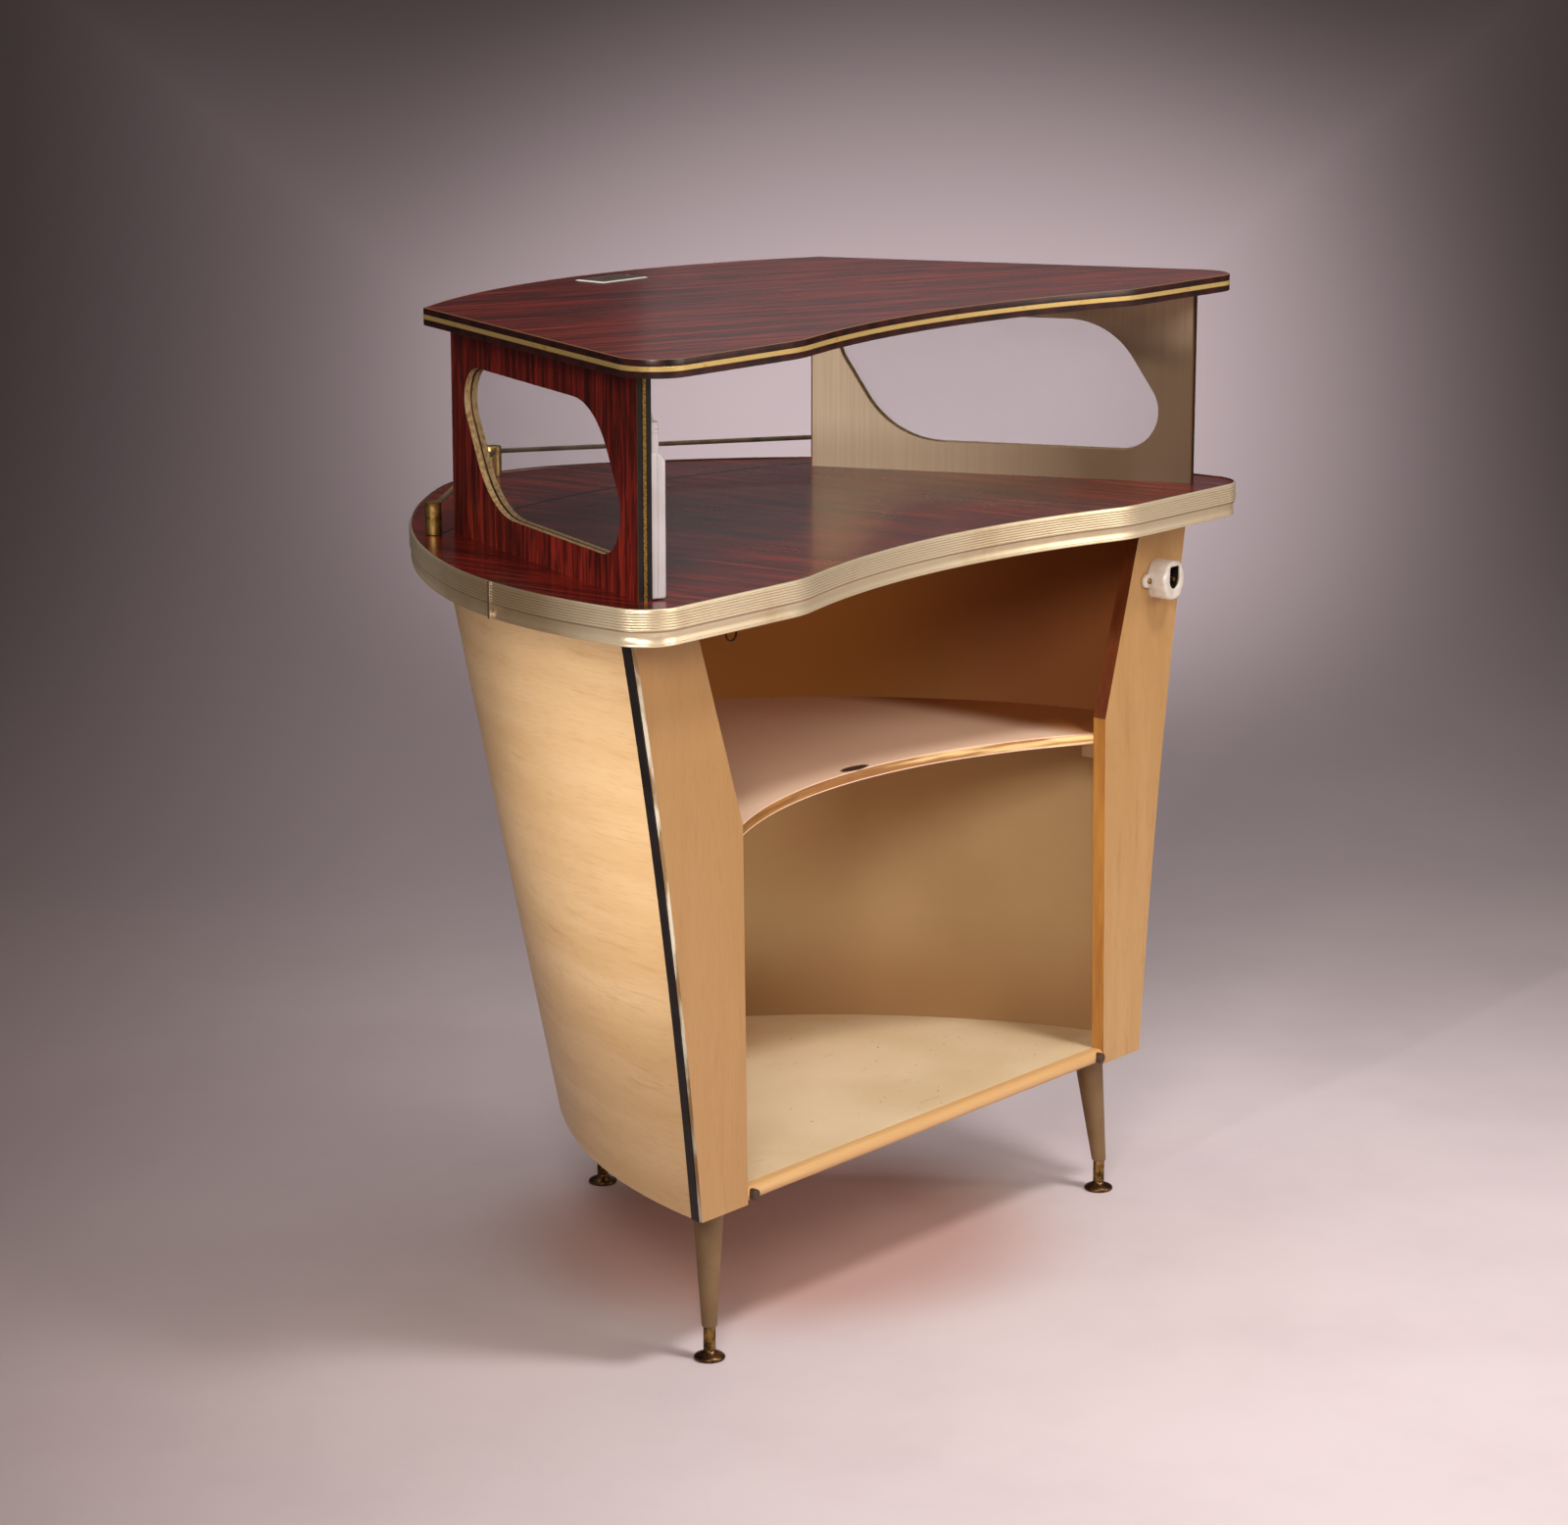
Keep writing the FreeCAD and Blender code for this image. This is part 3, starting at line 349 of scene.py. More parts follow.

# %% [markdown]
# ## Side panels
# A panel is rosewood outside with upright grain, a satin cream-gold sheet inside with painted shade towards
# the serving end (fading out near the top) and the foot, and bare pale board where the opening is cut. One
# material can serve all three, because the surface's own direction tells which face it is: the panel's
# outside leans away from the middle of the bar.

# %% Side panels
panel_turn = math.radians(22.8)
panel_corner_x, panel_corner_y, panel_thickness = 0.339, 0.1245, 0.0165


def out_of_panel(finish):
    """From 1 where a surface faces out of its side panel to -1 where it faces in."""
    face_x, face_y = finish.facing()[:2]
    return face_x * finish.x.math("SIGN") * math.cos(panel_turn) + face_y * math.sin(panel_turn)


panel_finish = Finish("gantry_panel", Specular_IOR_Level=0.35)
outside_colour = rosewood_colour(panel_finish, panel_finish.place, panel_grain)
brushed = panel_finish.noise((300.0, 300.0, 6.0), 2.0)
inside_colour = panel_finish.mix(brushed.ease(0.3, 0.7), tone(184, 159, 129), tone(193, 168, 138))
# Painted shade: the inner sheet darkens towards the serving end, fading out near the top, and towards its
# foot.
painted_shade_serving_end = panel_finish.y.ease(0.12, -0.24) * panel_finish.z.ease(1.15, 1.07) * 0.9
inside_colour = panel_finish.mix(painted_shade_serving_end, inside_colour, tone(92, 68, 46))
painted_shade_panel_foot = panel_finish.z.ease(0.99, 0.93) * 0.35
inside_colour = panel_finish.mix(painted_shade_panel_foot, inside_colour, tone(104, 78, 56))
ply = panel_finish.noise((270.0, 270.0, 60.0), 4.0)
panel_finish.set(Base_Color=panel_finish.mix(ply.ease(0.4, 0.65), tone(204, 174, 126), tone(160, 126, 80)),
                 Roughness=0.36 + 0.1 * brushed)
outwards = out_of_panel(panel_finish)
panel_finish.tint((0 - outwards).ease(0.55, 0.65), inside_colour)
panel_finish.tint(outwards.ease(0.55, 0.65), outside_colour)
print("side panel, shader nodes", len(panel_finish.tree.nodes))

# %% [markdown]
# ## Maple
# The bowed shell is bent maple ply with faint wavy figure that runs round the body, and the stiles are
# solid maple with upright grain. The same recipe serves both, stretched along different axes. The shell's
# inside is cream below the inner shelf, with painted shade towards the foot and a painted highlight higher
# up at the back; above the shelf it is amber-brown with painted shade and bounce light, darker towards the
# front. Its direction against the middle of the bar tells inside from outside.


# %% Maple
def maple_colour(finish, along, pale, honey, line):
    """Pale wood with broad honey bands, thin wavy lines and fine pores, and the pattern of the lines."""
    place = finish.sway(finish.place, 3.0, 0.05)
    band = finish.noise(along, 4.0, 0.6, place)
    vein = finish.noise([5 * share for share in along], 5.0, 0.65, place)
    fibre = finish.noise([26 * share for share in along], 2.0, 0.5, place)
    ground = finish.mix(band.ease(0.3, 0.7), pale, honey)
    veined = finish.mix(vein.ease(0.55, 0.75) * 0.4, ground, line)
    return finish.mix(fibre.ease(0.45, 0.75) * 0.22, veined, line), vein


# %% Bowed shell
inner_shelf_z = 0.615
shell_finish = Finish("bent_maple", Coat_Roughness=0.3)
outer_colour, shell_vein = maple_colour(shell_finish, (1.6, 1.6, 16.0), tone(221, 184, 136),
                                        tone(208, 167, 116), tone(176, 128, 80))
shell_y, shell_z = shell_finish.y, shell_finish.z
face_x, face_y = shell_finish.facing()[:2]
on_outside = (face_x * shell_finish.x + face_y * (shell_y + 0.25)).ease(-0.02, 0.02)
wall_cloud = shell_finish.noise(5.0, 5.0).ease(0.35, 0.7)
# Painted shade and bounce light: above the inner shelf the wall is amber-brown, darker towards the front.
painted_shade_upper_wall = shell_finish.mix(shell_y.ease(0.14, -0.16), tone(217, 153, 76), tone(141, 79, 26))
shell_finish.set(Base_Color=shell_finish.mix(wall_cloud, tone(190, 158, 112), tone(180, 148, 102)),
                 Coat_Weight=0.12 * on_outside, Roughness=0.68 - 0.32 * on_outside + 0.12 * shell_vein,
                 Normal=shell_finish.bump(shell_vein, 0.04, 0.0005))
# Painted shade towards the foot of the wall, and a painted highlight higher up at the back.
shell_finish.tint(shell_z.ease(0.36, 0.21) * 0.9, tone(161, 121, 75))
shell_finish.tint(shell_y.ease(0.02, 0.16) * shell_z.ease(0.22, 0.36), tone(222, 198, 147))
shell_finish.tint(shell_z.ease(inner_shelf_z - 0.01, inner_shelf_z), painted_shade_upper_wall)
shell_finish.tint(on_outside, outer_colour)
print("shell, shader nodes", len(shell_finish.tree.nodes))

# %% [markdown]
# ## Stiles
# The stiles' outer edges are pale and chipped, and their reveals towards the opening are darker, with
# painted shade above the inner shelf. The left stile is a little darker overall. The surface's own direction
# tells the sides apart here too, so both stiles share one material instead of having their faces painted one
# by one.

# %% Stiles
stile_finish = Finish("stile_maple", Coat_Weight=0.1, Coat_Roughness=0.3)
stile_colour, stile_vein = maple_colour(stile_finish, (16.0, 16.0, 1.4), tone(196, 153, 100),
                                        tone(187, 142, 87), tone(160, 112, 60))
stile_finish.set(Base_Color=stile_colour, Roughness=0.38 + 0.1 * stile_vein,
                 Normal=stile_finish.bump(stile_vein, 0.05, 0.0005))
chipped = stile_finish.noise((60.0, 60.0, 14.0), 4.0).ease(0.4, 0.6)
edge_colour = stile_finish.mix(chipped, tone(214, 200, 176), tone(140, 108, 72))
figured = stile_vein.ease(0.3, 0.7)
low_reveal = stile_finish.mix(figured, tone(178, 122, 52), tone(152, 96, 36))
# Painted shade: above the inner shelf the reveals turn dark brown.
high_reveal_painted_shade = stile_finish.mix(figured, tone(112, 50, 8), tone(90, 36, 4))
reveal_colour = stile_finish.mix(stile_finish.z.ease(0.634, 0.636), low_reveal, high_reveal_painted_shade)
sideways = stile_finish.facing()[0] * stile_finish.x.math("SIGN")
stile_finish.tint(stile_finish.x.ease(0.1, -0.1) * 0.35, tone(160, 112, 60))
stile_finish.tint(sideways.ease(0.5, 0.6), edge_colour)
stile_finish.tint((0 - sideways).ease(0.5, 0.6), reveal_colour)
print("stiles, shader nodes", len(stile_finish.tree.nodes))

# %% [markdown]
# ## Cream laminate
# The floor of the bar and its inner shelf are covered with cream laminate that has yellowed, with brown
# scuffs and dark specks where bottles stood. The shelf carries a pink painted highlight and a painted
# shadow at its right end, and has one chip in its front edge. The chip is a small ellipsoid with a ragged
# rim, worked out from the distance to its middle.

# %% Cream laminate
chip_place, chip_fineness = (0.009, -0.205, 0.615), (36.0, 105.0, 170.0)
cream_finish = Finish("cream_laminate")
cream_cloud = cream_finish.noise(4.0, 4.0)
cream_scuff = cream_finish.noise((10.0, 60.0, 20.0), 6.0, 0.7, turn=0.6)
speck = cream_finish.noise(160.0, 1.0)
yellowed = cream_cloud.ease(0.35, 0.7)
cream_finish.set(Base_Color=cream_finish.mix(yellowed, tone(228, 208, 174), tone(214, 190, 150)),
                 Roughness=0.42 + 0.2 * cream_cloud)
cream_finish.tint(cream_scuff.ease(0.62, 0.72) * 0.25, tone(150, 122, 88))
cream_finish.tint(speck.ease(0.76, 0.8) * 0.7, tone(84, 58, 38))
# Painted highlight: the inner shelf is lighter and pinker; painted shadow darkens its right end.
shelf_painted_highlight = cream_finish.mix(0.85, cream_finish.colour(), tone(255, 214, 184))
shelf_painted_light_and_shadow = cream_finish.mix(cream_finish.x.ease(0.3, 0.375), shelf_painted_highlight, tone(160, 95, 45))
cream_finish.tint(cream_finish.z.ease(0.58, 0.59), shelf_painted_light_and_shadow)
chip = (cream_scuff - 0.5) * 1.6
cream_axes = (cream_finish.x, cream_finish.y, cream_finish.z)
for axis, centre, fineness in zip(cream_axes, chip_place, chip_fineness):
    from_chip = (axis - centre) * fineness
    chip = chip + from_chip * from_chip
cream_finish.tint(chip.ease(1.0, 0.6), tone(70, 46, 30))
print("cream laminate, shader nodes", len(cream_finish.tree.nodes))

# %% [markdown]
# ## Plain board and batten
# The boards under the laminates and the lipping are plain softwood that hardly shows, and the batten is a
# paler strip with a slight gloss. Straight grain from one stretched noise is enough for both.

# %% Plain board and batten
board_finish = Finish("plain_board", Roughness=0.7)
board_grain = board_finish.noise((4.0, 80.0, 80.0), 5.0)
board_finish.set(Base_Color=board_finish.mix(board_grain, tone(196, 160, 112), tone(150, 112, 70)))

batten_finish = Finish("pale_batten")
batten_grain = batten_finish.noise((3.0, 90.0, 90.0), 4.0)
batten_finish.set(Base_Color=batten_finish.mix(batten_grain, tone(226, 184, 128), tone(196, 146, 88)),
                  Roughness=0.34 + 0.2 * batten_grain)
print("batten, shader nodes", len(batten_finish.tree.nodes))

# %% [markdown]
# ## Metals
# The posts and ferrules are brass with brown spots, the glides a dark bronze, the rods brass gone olive. A
# bright metal has full Metallic with its colour in Base Color. The gold stripe and the rods have a dull
# skin, so their Metallic is lower. Wear goes into both colour and roughness, so one recipe serves them all.


# %% Metals
def worn_metal(name, bright, dull, rough, patch, wear=(0.45, 0.7), scratch=(40.0, 40.0, 400.0), metallic=1.0):
    """Metal whose colour sinks to a dull tone in patches, with fine scratches in its gloss."""
    finish = Finish(name, Metallic=metallic)
    dulled = finish.noise(patch, 5.0, 0.6).ease(*wear)
    fine = finish.noise(scratch, 3.0)
    finish.set(Base_Color=finish.mix(dulled, bright, dull), Roughness=rough + 0.16 * dulled + 0.14 * fine,
               Normal=finish.bump(fine, 0.06, 0.0002))
    return finish


stripe_finish = worn_metal("gold_stripe", tone(236, 202, 126), tone(190, 150, 78), 0.34, 60.0, (0.55, 0.8),
                           (900.0, 900.0, 900.0), 0.55)
brass_finish = worn_metal("aged_brass", tone(180, 144, 84), tone(100, 70, 36), 0.34, 60.0, (0.42, 0.7))
ferrule_finish = worn_metal("scratched_brass", tone(150, 116, 66), tone(80, 58, 30), 0.38, 120.0, (0.4, 0.65))
bronze_finish = worn_metal("dark_bronze", tone(112, 82, 54), tone(52, 34, 22), 0.24, 70.0, (0.4, 0.7))
rod_finish = worn_metal("olive_rod", tone(122, 106, 82), tone(92, 78, 58), 0.5, 40.0, metallic=0.4)
steel_finish = worn_metal("plated_steel", tone(168, 166, 162), tone(110, 104, 98), 0.3, 50.0)
joint_finish = worn_metal("joint_strip", tone(214, 204, 184), tone(176, 160, 130), 0.24, 40.0)
print("brass, shader nodes", len(brass_finish.tree.nodes))

# %% [markdown]
# ## Gold inlay of the panels
# A mottled gold stripe runs down the middle of each panel's ends. Its solid is wider than the stripe, so
# the finish measures how deep a point lies in the panel and turns dark away from the middle.

# %% Gold inlay of the panels
panel_stripe_finish = worn_metal("mottled_gold_stripe", tone(176, 142, 78), tone(116, 88, 44), 0.36, 520.0,
                                 (0.38, 0.62))
inlay_x = panel_corner_x - panel_stripe_finish.x.math("ABSOLUTE")
inlay_y = panel_stripe_finish.y - panel_corner_y
inlay_depth = inlay_x * math.cos(panel_turn) - inlay_y * math.sin(panel_turn)
off_middle = (inlay_depth - panel_thickness / 2).math("ABSOLUTE")
panel_stripe_finish.tint(off_middle.ease(0.0018, 0.0022), tone(30, 22, 14))
print("panel stripe, shader nodes", len(panel_stripe_finish.tree.nodes))

# %% [markdown]
# ## Counter edge
# The counter's edge is champagne-coloured anodised aluminium, darker towards both sides and in the grooves
# between its reeds. The reeds are real in the mesh, but the darker grooves are colour: they follow the same
# seven steps down the edge. Painted shade lies in the hollow, on the bead's inward face and in a line under
# the reeds.

# %% Counter edge
reed_count, reed_high, reed_band = 7, 0.9154, 0.0212
trim_finish = Finish("gold_trim", Metallic=0.6)
trim_x, trim_y, trim_z = trim_finish.x, trim_finish.y, trim_finish.z
trim_cloud = trim_finish.noise(7.0, 5.0, 0.6)
toned = trim_cloud.ease(0.45, 0.8)
trim_finish.set(Base_Color=trim_finish.mix(toned, tone(246, 226, 190), tone(212, 184, 140)),
                Roughness=0.26 + 0.16 * trim_cloud)
# Darker towards both sides of the counter.
darker_sides = trim_x.math("ABSOLUTE").ease(0.42, 0.56) * trim_y.ease(-0.36, -0.2)
trim_finish.tint(darker_sides * 0.75, tone(128, 98, 64))
# Painted shade across the hollow below the reeds.
hollow_shade = trim_z.ease(0.8795, 0.8875) * trim_z.ease(0.8942, 0.8934)
trim_finish.tint(hollow_shade * 0.15, tone(126, 94, 58))
face_x, face_y = trim_finish.facing()[:2]
# Painted shade and reflection: the bead's inward face takes the counter's red-brown.
bead_inside_painted_shade = (face_x * trim_x + face_y * trim_y).ease(0.0, -0.05) * trim_z.ease(0.9158, 0.9164)
trim_finish.tint(bead_inside_painted_shade, tone(84, 50, 42))
# The grooves between the reeds are darker.
from_reed = (((reed_high - trim_z) * (reed_count / reed_band)).math("FRACT") - 0.5).math("ABSOLUTE")
on_reeds = trim_z.ease(0.8938, 0.8944) * trim_z.ease(0.9158, 0.9152)
# Painted shadow: a dark line where the reeds meet the hollow.
painted_shadow_under_reeds = trim_z.ease(0.8916, 0.8926) * trim_z.ease(0.8944, 0.8938) * 1.2
groove = (from_reed.ease(0.26, 0.48) * on_reeds).math("MAXIMUM", painted_shadow_under_reeds)
trim_finish.tint(groove * 0.55, tone(112, 86, 52))
print("counter edge, shader nodes", len(trim_finish.tree.nodes))

# %% [markdown]
# ## Leg paint
# The legs are painted a flat brown-gold with metal flecks and a few nicks. A low Metallic and a very fine
# noise in the gloss give the flecks without any geometry.

# %% Leg paint
leg_finish = Finish("leg_paint", Metallic=0.25)
leg_cloud = leg_finish.noise(22.0, 5.0).ease(0.3, 0.7)
leg_fleck = leg_finish.noise(900.0, 1.0)
leg_nick = leg_finish.noise((80.0, 80.0, 20.0), 4.0)
leg_finish.set(Base_Color=leg_finish.mix(leg_cloud, tone(132, 104, 70), tone(120, 92, 60)),
               Roughness=0.4 + 0.16 * leg_fleck, Normal=leg_finish.bump(leg_fleck, 0.05, 0.0002))
leg_finish.tint(leg_nick.ease(0.74, 0.8), tone(84, 66, 44))
print("leg paint, shader nodes", len(leg_finish.tree.nodes))


# %% [markdown]
# ## Plastics, porcelain and glass
# Small fittings finish the list: black edging with fine ribs, brown buffers, a white switch box, a glazed
# porcelain inlet and clear panes. Each gets a cloud of slight colour change and a changing gloss, because a
# perfectly even plastic looks like a drawing.

# %% Plastics, porcelain and glass
def moulded(name, light, dark, rough, scale=20.0, fine=(250.0, 250.0, 250.0), **sockets):
    """Moulded piece with a faint cloud of colour and a fine surface."""
    finish = Finish(name, **sockets)
    cloud = finish.noise(scale, 4.0).ease(0.35, 0.7)
    grit = finish.noise(fine, 2.0)
    finish.set(Base_Color=finish.mix(cloud, light, dark), Roughness=rough + 0.12 * grit,
               Normal=finish.bump(grit, 0.04, 0.0002))
    return finish


black_finish = moulded("black_edging", tone(26, 20, 18), tone(14, 10, 10), 0.26, 40.0, (700.0, 700.0, 20.0))
edging_finish = moulded("panel_edging", tone(26, 20, 18), tone(14, 10, 10), 0.26, 40.0, (20.0, 20.0, 700.0))
shelf_edge_finish = moulded("dark_shelf_edging", tone(62, 24, 17), tone(26, 12, 10), 0.26, 50.0,
                            (700.0, 700.0, 10.0))
strip_finish = moulded("brown_strip", tone(188, 132, 66), tone(158, 102, 46), 0.16, 6.0, (60.0, 60.0, 200.0),
                       Coat_Weight=0.5)
brown_finish = moulded("brown_rubber", tone(76, 48, 32), tone(48, 29, 19), 0.42)
# Painted shade: the cleats are dark brown, so they sink into the shaded wall beside them.
cleat_painted_shade_finish = moulded("cleat_in_painted_shade", tone(122, 86, 54), tone(106, 72, 44), 0.6)
white_finish = moulded("white_plastic", tone(204, 196, 197), tone(194, 184, 182), 0.24)
cable_finish = moulded("cable_sheath", tone(206, 198, 186), tone(182, 170, 154), 0.45)
enamel_finish = moulded("white_enamel", tone(230, 226, 216), tone(218, 210, 196), 0.2)
button_finish = moulded("button_plastic", tone(222, 214, 204), tone(206, 194, 180), 0.2)
switch_finish = moulded("switch_moulding", tone(66, 42, 28), tone(44, 27, 18), 0.45)
porcelain_finish = moulded("porcelain", tone(228, 219, 209), tone(212, 199, 184), 0.1, 60.0, Coat_Weight=0.5)
tube_finish = moulded("frosted_tube", tone(238, 236, 230), tone(228, 226, 220), 0.28)
plate_finish = moulded("dark_plate", tone(84, 73, 57), tone(66, 56, 44), 0.4, 40.0, Metallic=0.3)
pane_finish = moulded("clear_pane", tone(92, 96, 98), tone(84, 88, 90), 0.02, 6.0, Alpha=0.12)
rim_finish = moulded("plate_rim", tone(232, 226, 222), tone(220, 212, 206), 0.3)
print("materials so far", len(bpy.data.materials))

# %% [markdown]
# ## Marks on the mouldings
# Some mouldings aren't even all over. The panels' edging is brown on its sides, the top shelf's edging has a
# painted highlight on its upward faces, the strip on the inner shelf has painted glints at the right and
# darker patches at the left, and the inlet's mouth has painted shade inside. Each mark is one more colour,
# mixed in by direction or place.

# %% Marks on the mouldings
edging_finish.tint(out_of_panel(edging_finish).math("ABSOLUTE").ease(0.6, 0.8), tone(104, 66, 34))
# Painted highlight on the upward faces of the top shelf's edging.
shelf_edge_finish.tint(shelf_edge_finish.facing()[2].ease(0.2, 0.5), tone(140, 98, 60))

# Painted glints: reflections on the right half of the strip. The left half gets darker patches.
strip_patch = strip_finish.noise((9.0, 9.0, 150.0), 3.0)
darker_left_patches = strip_patch.ease(0.6, 0.4) * strip_finish.x.ease(0.1, -0.1) * 0.6
painted_glint = strip_patch.ease(0.42, 0.62) * strip_finish.x.ease(-0.02, 0.14)
strip_finish.tint(darker_left_patches, tone(126, 76, 34))
strip_finish.tint(painted_glint, tone(252, 212, 148))

mouth_x, mouth_half_width, mouth_front, mouth_low, mouth_high = 0.466, 0.0119, -0.3586, 0.7880, 0.8187
# Painted shade inside the inlet's mouth.
mouth_painted_shade = (porcelain_finish.x - mouth_x).math("ABSOLUTE").ease(mouth_half_width, mouth_half_width - 0.0005)
mouth_painted_shade = mouth_painted_shade * porcelain_finish.y.ease(mouth_front, mouth_front + 0.002)
mouth_painted_shade = mouth_painted_shade * porcelain_finish.z.ease(mouth_low, mouth_low + 0.0004)
mouth_painted_shade = mouth_painted_shade * porcelain_finish.z.ease(mouth_high, mouth_high - 0.0004)
porcelain_finish.tint(mouth_painted_shade, tone(34, 26, 22))
print("inlet, shader nodes", len(porcelain_finish.tree.nodes))

# %% [markdown]
# ## Dressing the solids
# Boards, panels and the shell already have the right shape as solids, so they stay and only get a finish.
# A table of finishes and nodes is easier to check than a row of calls.

# %% Dressing the solids
dressed = [
    (counter_finish, ["counter_laminate"]),
    (top_finish, ["top_shelf_laminate"]),
    (panel_finish, ["left_gantry_panel", "right_gantry_panel"]),
    (shell_finish, ["bowed_front_shell"]),
    (stile_finish, ["left_stile", "right_stile"]),
    (cream_finish, ["base_panel", "inner_shelf"]),
    (board_finish, ["counter_board", "counter_lipping", "top_shelf_board"]),
    (cleat_painted_shade_finish, ["shelf_cleats", "counter_cleats"]),
    (strip_finish, ["inner_shelf_edge_strip"]),
    (black_finish, ["left_edge_bead", "right_edge_bead"]),
    (edging_finish, ["left_panel_edging", "right_panel_edging"]),
    (panel_stripe_finish, ["left_panel_gold_inlay", "right_panel_gold_inlay"]),
    (joint_finish, ["trim_joint_cover"]),
    (pane_finish, ["left_pane", "right_pane"]),
    (white_finish, ["cable_clips"]),
    (switch_finish, ["switch_block"]),
    (steel_finish, ["leg_plates", "leg_plate_screws"]),
    (brass_finish, ["mains_inlet_pins"])]
for finish, names in dressed:
    for name in names:
        nodes[name].data.materials.clear()
        nodes[name].data.materials.append(finish.material)
print("materials", len(bpy.data.materials))


# %% [markdown]
# ## Rings into meshes
# Nearly every fitting here is a row of closed rings: a turned post, a moulding carried round an edge, a
# rounded box. So one helper turns a grid of points, rings by points, into faces. A row of rings that comes
# back to its start is a loop, and any other row gets a cap on its first and last ring.

# %% Rings into meshes
MM = 0.001
SHARP = math.radians(38)


def ring_faces(rows, columns, loop, start):
    """Faces between neighbouring rings, and the two caps of a row that isn't a loop."""
    row = np.arange(rows if loop else rows - 1)[:, None]
    column = np.arange(columns)[None, :]
    after, beside = (row + 1) % rows, (column + 1) % columns
    corners = [row * columns + column, row * columns + beside,
               after * columns + beside, after * columns + column]
    faces = (start + np.stack(corners, axis=-1).reshape(-1, 4)).tolist()
    if not loop:
        faces.append(list(range(start, start + columns)))
        faces.append(list(range(start + (rows - 1) * columns, start + rows * columns)))
    return faces


def piece(name, shells, finish, body="cabinet", stands_for=()):
    """Mesh of one or more rows of rings, given in millimetres as pairs of a grid and whether it is a loop."""
    points, faces, start = [], [], 0
    for grid, loop in shells:
        rows, columns = grid.shape[:2]
        points.append(grid.reshape(-1, 3) * MM)
        faces += ring_faces(rows, columns, loop, start)
        start += rows * columns
    mesh = bpy.data.meshes.new(name)
    mesh.from_pydata(np.concatenate(points).tolist(), [], faces)
    shape = bmesh.new()
    shape.from_mesh(mesh)
    bmesh.ops.recalc_face_normals(shape, faces=shape.faces)
    shape.to_mesh(mesh)
    shape.free()
    mesh.shade_smooth()
    mesh.set_sharp_from_angle(angle=SHARP)
    mesh.materials.append(finish.material)
    made = bpy.data.objects.new(name, mesh)
    scene.collection.objects.link(made)
    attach(made, body)
    if stands_for:
        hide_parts(*stands_for)
    print(name, "faces", len(mesh.polygons))


# %% Basic forms
def axes_about(axis):
    """Three directions at right angles, the last one along an axis."""
    along = np.array(axis, float) / np.linalg.norm(axis)
    helper = np.array((0.0, 0.0, 1.0)) if abs(along[2]) < 0.9 else np.array((1.0, 0.0, 0.0))
    side = np.cross(helper, along)
    side /= np.linalg.norm(side)
    return side, np.cross(along, side), along


def full_turn(count):
    """Evenly spaced angles once round."""
    return np.linspace(0, 2 * np.pi, count, endpoint=False)


def raised(flat, rise):
    """Flat points with a height, or one height for each, as their third number."""
    return np.concatenate([flat, np.broadcast_to(rise, flat.shape[:-1] + (1,))], axis=-1)


def turned(profile, centre, axis=(0, 0, 1), count=48):
    """Surface of revolution: pairs of radius and distance along the axis, carried once round it."""
    side, up, along = axes_about(axis)
    angle = full_turn(count)[None, :, None]
    radius, rise = np.array(profile, float).T[:, :, None, None]
    return np.array(centre, float) + radius * (np.cos(angle) * side + np.sin(angle) * up) + rise * along


def rounded(width, height, radius, count=7):
    """Closed outline of a rectangle with round corners about its centre, as pairs."""
    corner = np.array([[1, 1], [-1, 1], [-1, -1], [1, -1]])
    angle = np.radians(np.linspace(0, 90, count)[None, :] + 90 * np.arange(4)[:, None])
    centre = corner * (np.array([width, height]) / 2 - radius)
    return (centre[:, None, :] + radius * np.stack([np.cos(angle), np.sin(angle)], axis=-1)).reshape(-1, 2)


def block(width, depth, height, radius, edge):
    """Rounded block on its foot: rounded rectangles that draw in along quarter circles at both rims."""
    turn = np.radians(np.linspace(0, 90, 5))
    inset = edge * (1 - np.sin(turn))
    rise = edge * (1 - np.cos(turn))
    levels = np.concatenate([rise, height - rise[::-1]])
    insets = np.concatenate([inset, inset[::-1]])
    rings = [rounded(width - 2 * step, depth - 2 * step, max(radius - step, 0.05)) for step in insets]
    return raised(np.stack(rings), levels[:, None, None])


# %% [markdown]
# ## Outlines of the counter and the top shelf
# Both outlines are tangent arcs, worked out from the same few radii as the solids. Each run of an outline
# is a pair of arrays: its points and the directions that point outwards. A moulding is then a small profile
# carried round.


# %% Arcs and sweeps
def direction(angle):
    """Unit pair at an angle in degrees."""
    return np.array([math.cos(math.radians(angle)), math.sin(math.radians(angle))])


def arc_run(centre, radius, start, end, outward=1, step=4.0):
    """Points along an arc about a centre, and their outward directions."""
    count = max(3, int(abs(math.radians(end - start)) * radius / step) + 1)
    angle = np.radians(np.linspace(start, end, count))
    way = np.stack([np.cos(angle), np.sin(angle)], axis=1)
    return np.array(centre) + radius * way, outward * way


def around(runs):
    """Closed outline: the runs of the right half, then the same runs mirrored, back to the start."""
    points = np.concatenate([run[0][:-1] for run in runs] + [runs[-1][0][-1:]])
    ways = np.concatenate([run[1][:-1] for run in runs] + [runs[-1][1][-1:]])
    flip = np.array([-1.0, 1.0])
    return np.concatenate([points, points[-2:0:-1] * flip]), np.concatenate([ways, ways[-2:0:-1] * flip])


def sweep(outline, profile, height):
    """Profile of pairs, out and up, carried round: point plus out times its direction, raised by up."""
    points, ways = outline
    profile = np.array(profile, float)
    flat = points[:, None, :] + ways[:, None, :] * profile[None, :, :1]
    return raised(flat, height + profile[None, :, 1:])


